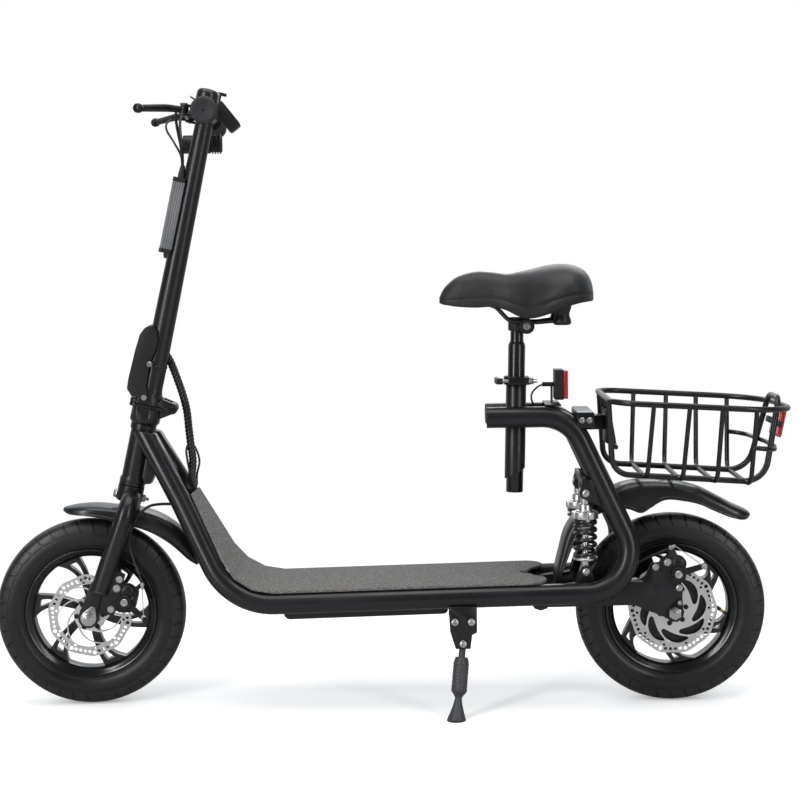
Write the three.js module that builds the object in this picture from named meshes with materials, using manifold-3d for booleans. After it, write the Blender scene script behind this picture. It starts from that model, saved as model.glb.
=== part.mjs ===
// A seated electric scooter with a folding stem, sprung rear arm, saddle and wire basket.
// Sizes are in millimetres. X runs from front to rear, Y to the rider's right, Z up.
import * as THREE from 'three';
import { mergeVertices } from 'three/addons/utils/BufferGeometryUtils.js';
import Module from 'manifold-3d';

// Clearances
const gap = 0.3;
const runningGap = 0.5;
const eyeGap = 1.4;

// Wheels
const wheelbase = 979.3;
const tyreRadius = 158.5;
const tyreHalfWidth = 28.5;
const treadHalfFlat = 14;
const flangeRadius = 109;
const flangeHalfWidth = 22.5;
const rimInnerRadius = 96;
const rimWall = 4;
const spokeHalfWidth = 10;
const hubRadius = 27;
const hubHalfWidth = 33;
const axleRadius = 6;
const motorRadius = 65;
const motorHalfWidth = 30;
const rotorRadius = 70;
const rearRotorRadius = 73.5;
const rotorThickness = 2;
const rotorMiddle = 38;
const rotorBand = 17;
const rotorHoleRadius = 2.6;
const wheelBoltRadius = 3.4;
const wheelBoltCircle = 22;

// Steering head, measured along and square to the steering axis
const headTilt = 12.8;
const restTurn = 5.5;
const forkOffset = 23.3;
const headBottom = 237.3;
const headTop = 320.2;
const headRadius = 19.5;
const cupRadius = 21.5;
const lowerCupEnd = 226;
const upperCupEnd = 331.3;
const steererRadius = 14;
const steererTop = 352;
const railTopLevel = 322;
const gussetDepth = 40;
const gussetBottom = 232;
const gussetHalfWidth = 12;

// Fork
const legRadius = 15.5;
const legHalfSpread = 56;
const crownHeight = 206;
const crownBend = 34;
const crownReach = 5;
const legFootForward = 14.4;
const legFootHeight = 46;
const dropoutRadius = 17;
const dropoutInner = 52;
const dropoutOuter = 60;
const raceRadius = 22;
const crownBoltReach = 38;
const crownBoltRadius = 5;
const forkTabBack = 22;
const forkTabTop = 84;
const forkTabLow = 12;
const tabBoltRadius = 5;

// Disc calipers and their levers
const caliperPivotX = 53.1;
const caliperPivotZ = 39.9;
const caliperHalfLength = 21;
const caliperHalfHeight = 25;
const caliperInner = 27;
const caliperOuter = 60;
const caliperSlotHalf = 3;
const caliperRound = 9;
const armHubRadius = 9;
const armInner = caliperOuter + gap;
const armOuter = 67;
const armLength = 45;
const armTipRadius = 4.5;
const caliperBoltReach = 3;

// Frame rails, from the steering head round the deck and up to the seat
const railRadius = 17.5;
const railFrontX = 97;
const railFrontY = 20;
const railFrontZ = 470;
const railKneeX = 161.4;
const railKneeY = 46;
const railKneeZ = 352.7;
const railKneeBend = 300;
const footBendX = 248.3;
const footBendZ = 184.1;
const footBend = 114;
const deckRailY = 92;
const rearBendX = 939.8;
const rearBendZ = 202.1;
const rearBend = 70;
const topBendX = 808;
const topBendY = 43;
const topBendZ = 485;
const topBend = 70;
const topRailX = 672;
const topRailY = 38;
const topRailZ = 484;

// Deck plate and battery box
const deckThickness = 4.6;
const deckHalfWidth = 100;
const deckTopHalfWidth = 40;
const deckRearX = 768;
const deckLobeRadius = 34;
const notchX = 726;
const notchRadius = 14;
const batteryFrontX = 318;
const batteryRearX = 605;
const batteryBottom = 155;
const batteryEdge = 8;

// Rear arm and its pivot
const pivotX = 757;
const pivotZ = 186;
const pivotRadius = 9;
const pivotLugRadius = 17;
const armSleeveRadius = 15;
const armMiddleY = 57.5;
const armHalfWidth = 9.5;
const armTubeHeight = 38;
const armTubeEndX = 946;
const armTubeMiddleZ = 193;
const plateInner = 53;
const plateOuter = 59;
const plateTopX = 947.5;
const plateTopZ = 240;
const plateBackX = 986.5;
const plateBackZ = 203;
const plateBoltRadius = 4.5;

// Shock absorbers
const shockX = 832;
const shockY = 60;
const shockTopZ = 361;
const shockFootZ = 231.5;
const shockEyeRadius = 10.5;
const shockBoltRadius = 5;
const shockBodyRadius = 11.5;
const shockNeckRadius = 8;
const shockCollarRadius = 22;
const shockCollarTop = 330;
const shockCollarHeight = 12;
const shockCollarNotches = 5;
const shockSleeveRadius = 13.2;
const shockSleeveEnd = 300;
const springRadius = 17.2;
const springWire = 2.8;
const springTop = 314.6;
const springBottom = 257.4;
const springTurns = 4.5;
const seatPlateRadius = 21;
const seatPlateTop = 254;
const seatPlateHeight = 4;
const shockRodRadius = 5;
const shockRodTop = 308;
const earThickness = 4;
const earInner = 8.5;
const shockBridgeX = 829;
const shockBridgeZ = 379;
const shockBridgeDepth = 12;

// Seat tube, post and saddle
const seatTubeX = 723;
const seatTubeLean = 1.3;
const seatTubeRadius = 17;
const seatTubeTop = 535;
const seatTubeBottom = 378;
const seatTubeCutRise = 18;
const seatPostRadius = 14.3;
const seatPostBottom = 355;
const seatPostShoulder = 603;
const seatPostNeck = 622;
const seatPostNeckRadius = 11;
const seatPostTop = 648;
const collarHeight = 15;
const collarRadius = 21;
const collarLug = 10;
const clampLeverLength = 42;
const saddleFrontX = 595.8;
const saddleLength = 253;
const saddleBase = 636;
const saddleHeight = 102;
const saddleHalfWidth = 102;
const saddleRailRadius = 3.6;
const saddleRailHalfGap = 22;
const saddleClampX = 724;
const saddleClampZ = 634;
const bumperX = 797;
const bumperY = 44;
const bumperRadius = 15;
const bumperBottom = 636;

// Lamp, fenders and stand
const lampX = 796;
const lampZ = 535.6;
const lampHalfWidth = 21;
const lampHalfHeight = 25;
const lampDepth = 15;
const lensDepth = 7;
const fenderHalfWidth = 35;
const fenderWall = 2.6;
const fenderMountX = 2;
const fenderMountHalf = 9;
const standX = 628.6;
const standY = 95;
const standPivotZ = 121.5;
const standBracketTop = 174;
const standBracketHalf = 23;
const standCheek = 3.5;
const standSplayRoom = 2.4;
const standFootX = 616.5;
const standFootY = 130;
const standLegRadius = 8;
const standSleeveRadius = 12.5;
const standFootRadius = 17;
const standNeckStep = 2.5;
const standSleeveTaper = 2;

// Basket
const basketRodRadius = 5;
const ribRodRadius = 4;
const rimFrontX = 869;
const rimFrontZ = 515;
const rimRearX = 1163;
const rimRearZ = 497.5;
const rimHalfWidth = 137;
const rimCorner = 45;
const floorFrontX = 894;
const floorFrontZ = 393;
const floorRearX = 1088;
const floorRearZ = 379;
const floorHalfWidth = 75;
const hoopTopX = 1152;
const hoopTopZ = 512;
const hoopTopHalfWidth = 40;
const midRailZ = 440;
const midRailDrop = 8;

// Stem, folding joint and bar, in the steering head's own measure
const baseRadius = 25;
const flangeLevel = 365.5;
const flangeThickness = 6.5;
const flangeFront = 30;
const flangeBack = 34;
const flangeHalfSpan = 18.6;
const flatHalf = 19.2;
const foldPinX = 42;
const foldPinZ = 367;
const foldPinRadius = 4;
const foldEarRadius = 9;
const knuckleHalf = 10;
const earHalf = 21;
const stemRadius = 19;
const stemTopRadius = 14.5;
const stemTaperStart = 430;
const stemTaperEnd = 560;
const flareTop = 391;
const barLevel = 860;
const barRadius = 11;
const barRoom = 1.04 * barRadius + gap;
const barHalfLength = 216;
const barSweep = 3;
const barDrop = 9;
const barCentreHalf = 70;
const clampRadius = 18;
const clampHalfWidth = 20;
const gripRadius = 18;
const gripLength = 118;
const gripFlangeRadius = 22.5;
const gripFlangeThickness = 5;
const boxFront = 31;
const boxBack = 14;
const boxBottom = 620;
const boxTop = 747;
const boxHalfWidth = 21;
const leverPinX = 7.5;
const leverPinZ = 377;
const perchMiddle = 90;
const perchHalf = 6.5;
const perchRadius = 16;
const brakePivotX = 30;
const brakePivotDrop = 6;
const brakeLeverTipX = 93.8;
const brakeLeverTipY = 168;
const brakeLeverTipDrop = 24.6;
const brakeBallRadius = 9;
const brakeLeverWidth = 6.5;
const bellRadius = 18.5;
const bellHeight = 24;
const bellMiddle = 50;
const bellBase = 16;
const displayMiddle = 56;
const displayHalfWidth = 22;
const displayLength = 52;
const displayDepth = 22;
const displayTilt = 39;
const displayX = 31;
const displayRise = 4;
const keyRadius = 3.2;
const keyHeight = 13;
const keyBladeLength = 20;
const headlightRadius = 15.5;
const headlightLength = 66;
const headlightDrop = 66;
const headlightMiddle = 56;

// Cords
const loomRadius = 6.5;
const cableRadius = 2.4;

// Facet counts
const wheelSides = 24;
const tubeSides = 8;
const rodSides = 10;
const smallSides = 6;
const wireSides = 5;
const arcStep = 22.5;

const black = 0x17181b;
const materials = {
  frame: new THREE.MeshStandardMaterial({ color: 0x1d1e21, roughness: 0.45, metalness: 0.3 }),
  gloss: new THREE.MeshStandardMaterial({ color: black, roughness: 0.3, metalness: 0.2 }),
  plastic: new THREE.MeshStandardMaterial({ color: 0x141416, roughness: 0.55, metalness: 0 }),
  rubber: new THREE.MeshStandardMaterial({ color: 0x1a1b1c, roughness: 0.8, metalness: 0 }),
  grey: new THREE.MeshStandardMaterial({ color: 0x38393e, roughness: 0.5, metalness: 0.5 }),
  steel: new THREE.MeshStandardMaterial({ color: 0xc8cacc, roughness: 0.3, metalness: 0.9 }),
  deck: new THREE.MeshStandardMaterial({ color: 0x5d5a57, roughness: 0.95, metalness: 0 }),
  seat: new THREE.MeshStandardMaterial({ color: 0x121214, roughness: 0.6, metalness: 0 }),
  red: new THREE.MeshStandardMaterial({ color: 0xb3231e, roughness: 0.25, metalness: 0 }),
};

const wasm = await Module();
wasm.setup();

function at(x, y, z) {
  return new THREE.Vector3(x, y, z);
}

function radians(degrees) {
  return THREE.MathUtils.degToRad(degrees);
}

// A closed geometry becomes a solid, without the triangles that have shrunk to a line.
function solid(geometry) {
  const bare = geometry.clone();
  bare.deleteAttribute('normal');
  bare.deleteAttribute('uv');
  const merged = mergeVertices(bare);
  const corners = Array.from(merged.index.array);
  const kept = [];
  for (let i = 0; i < corners.length; i += 3) {
    const [a, b, c] = corners.slice(i, i + 3);
    if (a !== b && b !== c && c !== a) {
      kept.push(a, b, c);
    }
  }
  return new wasm.Manifold(new wasm.Mesh({
    numProp: 3,
    vertProperties: new Float32Array(merged.attributes.position.array),
    triVerts: new Uint32Array(kept),
  }));
}

function join(pieces) {
  return pieces.reduce((whole, piece) => whole.add(piece));
}

function cut(whole, tools) {
  return tools.reduce((rest, tool) => rest.subtract(tool), whole);
}

function node(parent, name, body, material) {
  const result = body.getMesh();
  const geometry = new THREE.BufferGeometry();
  geometry.setAttribute('position', new THREE.BufferAttribute(result.vertProperties, 3));
  geometry.setIndex(new THREE.BufferAttribute(result.triVerts, 1));
  geometry.computeVertexNormals();
  const mesh = new THREE.Mesh(geometry, material);
  mesh.name = name;
  parent.add(mesh);
  return mesh;
}

// A straight round bar or cone between two points.
function rod(from, to, radius, endRadius = radius, sides = rodSides) {
  const run = to.clone().sub(from);
  const geometry = new THREE.CylinderGeometry(endRadius, radius, run.length(), sides);
  const turn = new THREE.Quaternion().setFromUnitVectors(at(0, 1, 0), run.clone().normalize());
  geometry.applyQuaternion(turn);
  geometry.translate(...from.clone().add(to).divideScalar(2).toArray());
  return solid(geometry);
}

// The corner radius of a faceted bore in which a pin of the given radius turns freely.
function boreFor(pinRadius, clearance = gap, sides = smallSides) {
  return (pinRadius + clearance) / Math.cos(Math.PI / sides);
}

// A round bar across the scooter, from one Y to another.
function crossRod(x, z, fromY, toY, radius, sides = rodSides) {
  return rod(at(x, fromY, z), at(x, toY, z), radius, radius, sides);
}

function block(middle, sizeX, sizeY, sizeZ, tilt = 0) {
  const geometry = new THREE.BoxGeometry(sizeX, sizeY, sizeZ);
  geometry.rotateY(radians(tilt));
  geometry.translate(middle.x, middle.y, middle.z);
  return solid(geometry);
}

// A side-view outline in X and Z, as thick as the span from one Y to another.
function plate(points, fromY, toY, holes = []) {
  const shape = new THREE.Shape(points);
  for (const hole of holes) {
    shape.holes.push(new THREE.Path(hole));
  }
  const depth = Math.abs(toY - fromY);
  const geometry = new THREE.ExtrudeGeometry(shape, { depth, bevelEnabled: false });
  geometry.rotateX(Math.PI / 2);
  geometry.translate(0, Math.max(fromY, toY), 0);
  return solid(geometry);
}

function flat(x, z) {
  return new THREE.Vector2(x, z);
}

function polar(radius, degrees, centreX = 0, centreZ = 0) {
  const angle = radians(degrees);
  return flat(centreX + radius * Math.cos(angle), centreZ + radius * Math.sin(angle));
}

function circle(radius, sides, centreX = 0, centreZ = 0, start = 0) {
  const points = [];
  for (let i = 0; i < sides; i += 1) {
    points.push(polar(radius, start + 360 * i / sides, centreX, centreZ));
  }
  return points;
}

// The taut outline round a row of circles given as [x, z, radius].
function hull(circles, sides = smallSides + 2) {
  const all = circles.flatMap(([x, z, radius]) => circle(radius, sides, x, z));
  all.sort((a, b) => a.x - b.x || a.y - b.y);
  const half = (points) => {
    const chain = [];
    for (const point of points) {
      while (chain.length > 1) {
        const [a, b] = chain.slice(-2);
        const bend = (b.x - a.x) * (point.y - a.y) - (b.y - a.y) * (point.x - a.x);
        if (bend > 0) {
          break;
        }
        chain.pop();
      }
      chain.push(point);
    }
    return chain.slice(0, -1);
  };
  return [...half(all), ...half(all.reverse())];
}

// A turned body about Y, from [radius, y] pairs, with a facet square to straight down.
function turned(profile, sides = wheelSides, downAngle = 0) {
  const spread = 1 / Math.cos(Math.PI / sides);
  const points = profile.map(([radius, y]) => new THREE.Vector2(radius * spread, y));
  const geometry = new THREE.LatheGeometry(points, sides);
  geometry.rotateY(Math.PI / sides + radians(downAngle));
  return solid(geometry);
}

// A turned body about an upright axis, from [radius, z] pairs.
function upright(profile, sides = rodSides, x = 0, y = 0) {
  const points = profile.map(([radius, z]) => new THREE.Vector2(radius, z));
  const geometry = new THREE.LatheGeometry(points, sides);
  geometry.rotateX(Math.PI / 2);
  geometry.translate(x, y, 0);
  return solid(geometry);
}

// A turned body about any axis, from [radius, distance] pairs.
function along(profile, from, direction, sides = rodSides) {
  const points = profile.map(([radius, distance]) => new THREE.Vector2(radius, distance));
  const geometry = new THREE.LatheGeometry(points, sides);
  geometry.applyQuaternion(new THREE.Quaternion().setFromUnitVectors(at(0, 1, 0), direction));
  geometry.translate(from.x, from.y, from.z);
  return solid(geometry);
}

// A path that stops only at its own points, so that a swept section stands at each of them.
class PointPath extends THREE.Curve {
  constructor(points) {
    super();
    this.points = points;
  }

  getPointAt(share) {
    return this.points[Math.round(share * (this.points.length - 1))].clone();
  }

  getTangentAt(share) {
    const last = this.points.length - 1;
    const i = Math.round(share * last);
    const ahead = this.points[Math.min(i + 1, last)].clone().sub(this.points[Math.min(i, last - 1)]);
    const behind = this.points[Math.max(i, 1)].clone().sub(this.points[Math.max(i - 1, 0)]);
    return ahead.normalize().add(behind.normalize()).normalize();
  }
}

function tube(points, radius, sides = tubeSides) {
  const section = new THREE.Shape(circle(radius, sides));
  const path = new PointPath(points);
  const options = { steps: points.length - 1, extrudePath: path, bevelEnabled: false };
  return solid(new THREE.ExtrudeGeometry(section, options));
}

// Corner points joined by straight runs, each inner corner rounded to its own radius.
function rounded(corners, bends, step = arcStep) {
  const points = [corners[0].clone()];
  for (let i = 1; i < corners.length - 1; i += 1) {
    const back = corners[i - 1].clone().sub(corners[i]).normalize();
    const ahead = corners[i + 1].clone().sub(corners[i]).normalize();
    const turn = Math.PI - back.angleTo(ahead);
    const setback = bends[i - 1] * Math.tan(turn / 2);
    const start = corners[i].clone().addScaledVector(back, setback);
    const centre = corners[i].clone().addScaledVector(
      back.clone().add(ahead).normalize(),
      bends[i - 1] / Math.cos(turn / 2),
    );
    const arm = start.clone().sub(centre);
    const axis = back.clone().negate().cross(ahead).normalize();
    const count = Math.max(1, Math.round(turn / radians(step)));
    for (let k = 0; k <= count; k += 1) {
      points.push(centre.clone().add(arm.clone().applyAxisAngle(axis, turn * k / count)));
    }
  }
  points.push(corners[corners.length - 1].clone());
  return points;
}

function smooth(corners, count) {
  return new THREE.CatmullRomCurve3(corners).getSpacedPoints(count);
}

// Two flat axes of a ring's own plane.
function ringAxes(ring) {
  const normal = at(0, 0, 0);
  ring.forEach((point, i) => {
    const next = ring[(i + 1) % ring.length];
    normal.add(point.clone().cross(next));
  });
  normal.normalize();
  const first = Math.abs(normal.z) < 0.9 ? at(0, 0, 1) : at(1, 0, 0);
  const across = first.cross(normal).normalize();
  return [across, normal.clone().cross(across)];
}

// Triangles that close a ring, wound the way the ring runs.
function capTriangles(ring) {
  const [across, along] = ringAxes(ring);
  const outline = ring.map((point) => flat(point.dot(across), point.dot(along)));
  return THREE.ShapeUtils.triangulateShape(outline, []).map(([a, b, c]) => {
    const first = outline[b].clone().sub(outline[a]);
    const second = outline[c].clone().sub(outline[a]);
    return first.cross(second) > 0 ? [a, b, c] : [a, c, b];
  });
}

// Skins rings of equal point counts, one after another, and closes both ends.
function loft(rings) {
  const count = rings[0].length;
  const positions = rings.flat().flatMap((point) => point.toArray());
  const faces = [];
  for (let i = 0; i < rings.length - 1; i += 1) {
    for (let j = 0; j < count; j += 1) {
      const a = i * count + j;
      const b = i * count + (j + 1) % count;
      faces.push([a, b, b + count], [a, b + count, a + count]);
    }
  }
  const lastRing = (rings.length - 1) * count;
  for (const [a, b, c] of capTriangles(rings[0])) {
    faces.push([a, c, b]);
  }
  for (const [a, b, c] of capTriangles(rings[rings.length - 1])) {
    faces.push([lastRing + a, lastRing + b, lastRing + c]);
  }
  const vertex = (i) => at(...positions.slice(3 * i, 3 * i + 3));
  const volume = faces.reduce(
    (sum, [a, b, c]) => sum + vertex(a).dot(vertex(b).cross(vertex(c))),
    0,
  );
  const index = faces.flatMap(([a, b, c]) => (volume > 0 ? [a, b, c] : [a, c, b]));
  const geometry = new THREE.BufferGeometry();
  geometry.setAttribute('position', new THREE.Float32BufferAttribute(positions, 3));
  geometry.setIndex(index);
  return solid(geometry);
}

const scooter = new THREE.Group();

// The steering head leans back, and the front wheel rests a little turned to the left.
const wheelLean = Math.asin(Math.sin(radians(restTurn)) * Math.sin(radians(headTilt)));
const frontAxleHeight = tyreRadius * Math.cos(wheelLean) + treadHalfFlat * Math.sin(wheelLean);
const axleFromHead = at(-forkOffset, 0, 0)
  .applyAxisAngle(at(0, 0, 1), radians(restTurn))
  .applyAxisAngle(at(0, 1, 0), radians(headTilt));
const head = new THREE.Group();
head.position.set(-axleFromHead.x, 0, frontAxleHeight - axleFromHead.z);
head.rotation.y = radians(headTilt);
scooter.add(head);
head.updateMatrixWorld(true);
const turnedHead = new THREE.Group();
turnedHead.rotation.z = radians(restTurn);
head.add(turnedHead);

// A point of the steering head's own measure, in the scooter's.
function fromHead(x, y, z) {
  return at(x, y, z).applyMatrix4(head.matrixWorld);
}

// Wheels, each turned about its own axle
const beadRadius = flangeRadius - rimWall;

function tyreBody(downAngle) {
  const shoulder = (tyreRadius + flangeRadius) / 2;
  const wall = tyreHalfWidth - treadHalfFlat;
  return turned([
    [beadRadius + gap, -flangeHalfWidth + rimWall],
    [flangeRadius + gap, -flangeHalfWidth + rimWall],
    [flangeRadius + rimWall, -flangeHalfWidth - rimWall / 2],
    [shoulder, -tyreHalfWidth],
    [tyreRadius - wall / 2.5, -tyreHalfWidth + wall / 3],
    [tyreRadius, -treadHalfFlat],
    [tyreRadius, treadHalfFlat],
    [tyreRadius - wall / 2.5, tyreHalfWidth - wall / 3],
    [shoulder, tyreHalfWidth],
    [flangeRadius + rimWall, flangeHalfWidth + rimWall / 2],
    [flangeRadius + gap, flangeHalfWidth - rimWall],
    [beadRadius + gap, flangeHalfWidth - rimWall],
    [beadRadius + gap, treadHalfFlat],
    [tyreRadius - wall, treadHalfFlat],
    [tyreRadius - wall, -treadHalfFlat],
    [beadRadius + gap, -treadHalfFlat],
    [beadRadius + gap, -flangeHalfWidth + rimWall],
  ], wheelSides, downAngle);
}

function rimRing(downAngle) {
  return turned([
    [flangeRadius, -flangeHalfWidth],
    [flangeRadius, -flangeHalfWidth + rimWall - gap],
    [beadRadius, -flangeHalfWidth + rimWall - gap],
    [rimInnerRadius + rimWall, -treadHalfFlat],
    [rimInnerRadius + rimWall, treadHalfFlat],
    [beadRadius, flangeHalfWidth - rimWall + gap],
    [flangeRadius, flangeHalfWidth - rimWall + gap],
    [flangeRadius, flangeHalfWidth],
    [rimInnerRadius, treadHalfFlat],
    [rimInnerRadius, -treadHalfFlat],
    [flangeRadius, -flangeHalfWidth],
  ], wheelSides, downAngle);
}

// A curved spoke that splits into two near the rim: share out, half angle, slot half angle.
const spokeShares = [[0, 13, 0], [0.4, 8, 1], [0.75, 9, 4], [1, 12, 5]];
const spokeSweep = 16;

function spoke(startRadius, degrees) {
  const reach = rimInnerRadius + rimWall / 2 - startRadius;
  const slotEnd = 1 - 1.6 * rimWall / reach;
  const side = (rows, sign, column, end) => rows.map((row) => {
    const share = Math.min(row[0], end);
    const angle = degrees + spokeSweep * share * share + sign * row[column];
    return polar(startRadius + reach * share, angle);
  });
  const outline = [...side(spokeShares, -1, 1, 1), ...side(spokeShares, 1, 1, 1).reverse()];
  const slotRows = spokeShares.filter(([share, , slot]) => slot > 0 && share !== slotEnd);
  const slot = [...side(slotRows, -1, 2, slotEnd), ...side(slotRows, 1, 2, slotEnd).reverse()];
  return plate(outline, -spokeHalfWidth, spokeHalfWidth, [slot]);
}

function spokes(startRadius, count, firstAngle) {
  return Array.from({ length: count }, (_, i) => spoke(startRadius, firstAngle + 360 * i / count));
}

const boltAngles = Array.from({ length: 6 }, (_, i) => 60 * i + 15);

// A brake disc with a waved edge, curved arms or petal windows, and two rows of holes.
function rotorBody(radius, windows, windowRow, holeRows) {
  const waves = 10;
  const edge = [];
  for (let i = 0; i < waves * 3; i += 1) {
    const swell = (i % 3 < 2 ? 1 : -1) * rotorThickness / 2;
    edge.push(polar(radius - rotorThickness / 2 + swell, 360 * i / (waves * 3)));
  }
  const innerRadius = radius - rotorBand;
  const hubEdge = wheelBoltCircle + 2 * wheelBoltRadius;
  const holes = [circle(axleRadius + wheelBoltRadius, smallSides)];
  for (let i = 0; i < windows; i += 1) {
    const start = 360 * i / windows;
    const window = windowRow.map(([share, turn]) => polar(
      hubEdge + share * (innerRadius - hubEdge),
      start + turn,
    ));
    holes.push(window);
  }
  for (const [share, count, shift] of holeRows) {
    for (let i = 0; i < count; i += 1) {
      const middle = polar(innerRadius + share * rotorBand, 360 * (i + shift) / count);
      holes.push(circle(rotorHoleRadius, 4, middle.x, middle.y));
    }
  }
  const outer = -rotorMiddle - rotorThickness / 2;
  return plate(edge, outer, outer + rotorThickness, holes);
}

function rotorBolts() {
  const outer = -rotorMiddle - rotorThickness / 2;
  return boltAngles.map((angle) => {
    const middle = polar(wheelBoltCircle, angle);
    return crossRod(middle.x, middle.y, outer - rotorThickness, outer + gap, wheelBoltRadius, 6);
  });
}

// Window outlines as share of the way out and degrees round.
const frontWindow = [
  [0, 6], [0.35, 18], [0.75, 38], [1, 58], [1, 86], [0.55, 56], [0, 34],
];
const rearWindow = [
  [0, 8], [0.4, 8], [0.8, 20], [1, 34], [1, 60], [0.5, 42], [0.16, 26],
];

const axleRim = axleRadius + runningGap;

function wheelHub(downAngle) {
  const seat = -rotorMiddle + rotorThickness / 2 + gap;
  return turned([
    [axleRim, seat],
    [hubRadius, seat],
    [hubRadius, seat + rimWall],
    [hubRadius - 2 * rimWall, seat + 2 * rimWall],
    [hubRadius, -spokeHalfWidth],
    [hubRadius, spokeHalfWidth],
    [hubRadius - 2 * rimWall, spokeHalfWidth + rimWall],
    [hubRadius - 2 * rimWall, hubHalfWidth],
    [axleRim, hubHalfWidth],
    [axleRim, seat],
  ], 10, downAngle);
}

// Front wheel
const frontWheel = new THREE.Group();
frontWheel.position.set(-forkOffset, 0, 0);
turnedHead.add(frontWheel);
node(frontWheel, 'front_tyre', tyreBody(-headTilt), materials.rubber);
const frontRim = join([
  rimRing(-headTilt),
  wheelHub(-headTilt),
  ...spokes(hubRadius - rimWall, 6, 38 + headTilt),
]);
node(frontWheel, 'front_rim', frontRim, materials.gloss);
const frontRotor = join([
  rotorBody(rotorRadius, 6, frontWindow, [[0.3, 5, 0], [0.72, 5, 0.5]]),
  ...rotorBolts(),
]);
node(frontWheel, 'front_rotor', frontRotor, materials.steel);

// Rear wheel, with a flat motor in its middle
const rearWheel = new THREE.Group();
rearWheel.position.set(wheelbase, 0, tyreRadius);
scooter.add(rearWheel);
node(rearWheel, 'rear_tyre', tyreBody(0), materials.rubber);
const motorRing = turned([
  [motorRadius + gap, -spokeHalfWidth],
  [motorRadius + rimWall, -spokeHalfWidth],
  [motorRadius + rimWall, spokeHalfWidth],
  [motorRadius + gap, spokeHalfWidth],
  [motorRadius + gap, -spokeHalfWidth],
], wheelSides, 0);
const valve = rod(
  at(...[polar(rimInnerRadius + rimWall / 2, 14)].flatMap((p) => [p.x, 0, p.y])),
  at(...[polar(rimInnerRadius - 5 * rimWall, 14)].flatMap((p) => [p.x, 0, p.y])),
  rimWall - 1.2 * gap,
  rimWall - 1.2 * gap,
  wireSides,
);
const rearRim = join([rimRing(0), motorRing, valve, ...spokes(motorRadius + rimWall - 2 * gap, 6, 30)]);
node(rearWheel, 'rear_rim', rearRim, materials.gloss);
const motorSeat = -rotorMiddle + rotorThickness / 2 + gap;
const motor = turned([
  [axleRim, motorSeat],
  [hubRadius, motorSeat],
  [hubRadius, -motorHalfWidth],
  [motorRadius - rimWall, -motorHalfWidth],
  [motorRadius, -motorHalfWidth + rimWall],
  [motorRadius, motorHalfWidth - rimWall],
  [motorRadius - rimWall, motorHalfWidth],
  [hubRadius, hubHalfWidth],
  [axleRim, hubHalfWidth],
  [axleRim, motorSeat],
], wheelSides, 0);
node(rearWheel, 'hub_motor', motor, materials.gloss);
const rearRotor = join([
  rotorBody(rearRotorRadius, 7, rearWindow, [[0.3, 5, 0], [0.72, 5, 0.5]]),
  ...rotorBolts(),
]);
node(rearWheel, 'rear_rotor', rearRotor, materials.steel);

// An axle with spacers and hexagonal nuts outside the dropouts.
function axleBody(x, z, innerFace, outerFace, spacerFrom) {
  const nutRadius = 11;
  const nutHeight = 8;
  const spacer = (side, from) => crossRod(
    x, z, side * from, side * (innerFace - gap), axleRadius + rimWall, rodSides,
  );
  const nut = (side) => crossRod(
    x, z, side * (outerFace + gap), side * (outerFace + nutHeight), nutRadius, 6,
  );
  return join([
    crossRod(x, z, -outerFace - nutHeight - 1, outerFace + nutHeight + 1, axleRadius, smallSides),
    spacer(-1, spacerFrom),
    spacer(1, hubHalfWidth + gap),
    nut(-1),
    nut(1),
  ]);
}

const spacerStart = rotorMiddle + rotorThickness / 2 + gap;
const frontAxle = axleBody(-forkOffset, 0, dropoutInner, dropoutOuter, spacerStart);
node(turnedHead, 'front_axle', frontAxle, materials.steel);

// Fork: two legs bent out of the crown, their dropouts, the steerer and the caliper tab
function forkLeg(side) {
  const corners = [
    at(crownReach, 0, crownHeight),
    at(crownReach, side * legHalfSpread, crownHeight),
    at(-legFootForward, side * legHalfSpread, legFootHeight),
  ];
  return tube(rounded(corners, [crownBend]), legRadius, tubeSides);
}

function dropout(side) {
  const outline = hull([
    [-forkOffset, 0, dropoutRadius],
    [-legFootForward - dropoutRadius / 4, legFootHeight + dropoutRadius / 2, legRadius - 3],
  ]);
  return plate(outline, side * dropoutInner, side * dropoutOuter);
}

function boltHead(x, z, fromY, toY, radius) {
  return crossRod(x, z, fromY, toY, radius, 6);
}

function forkBody() {
  const tab = plate([
    flat(-legFootForward, forkTabLow),
    flat(forkTabBack - 6, forkTabLow),
    flat(forkTabBack - 2, forkTabLow + 12),
    flat(forkTabBack, forkTabTop),
    flat(-legFootForward + 8, forkTabTop + 8),
  ], -dropoutInner, -dropoutOuter);
  const axleHole = crossRod(
    -forkOffset, 0, -dropoutOuter - legRadius, dropoutOuter + legRadius, axleRadius + gap,
  );
  return cut(join([
    forkLeg(-1),
    forkLeg(1),
    dropout(-1),
    dropout(1),
    upright([[0, crownHeight - 8], [raceRadius, crownHeight - 8], [raceRadius, lowerCupEnd - gap],
      [steererRadius, lowerCupEnd - gap], [steererRadius, steererTop], [0, steererTop]], 16),
    tab,
    boltHead(forkTabBack - 8, forkTabTop - 9.5, -dropoutInner, -dropoutOuter - 3, tabBoltRadius),
    boltHead(forkTabBack - 12, forkTabLow + 10, -dropoutInner, -dropoutOuter - 3, tabBoltRadius),
    rod(at(-crownBoltReach + 8, 0, crownHeight), at(crownBoltReach, 0, crownHeight),
      crownBoltRadius, crownBoltRadius, smallSides),
  ]), [axleHole]);
}
node(turnedHead, 'fork', forkBody(), materials.frame);

// Fenders are lofted from arched sections at stations round the wheel.
const archShares = [[-1, 0], [-0.95, 0.55], [-0.7, 0.9], [-0.25, 1],
  [0.25, 1], [0.7, 0.9], [0.95, 0.55], [1, 0]];

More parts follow.
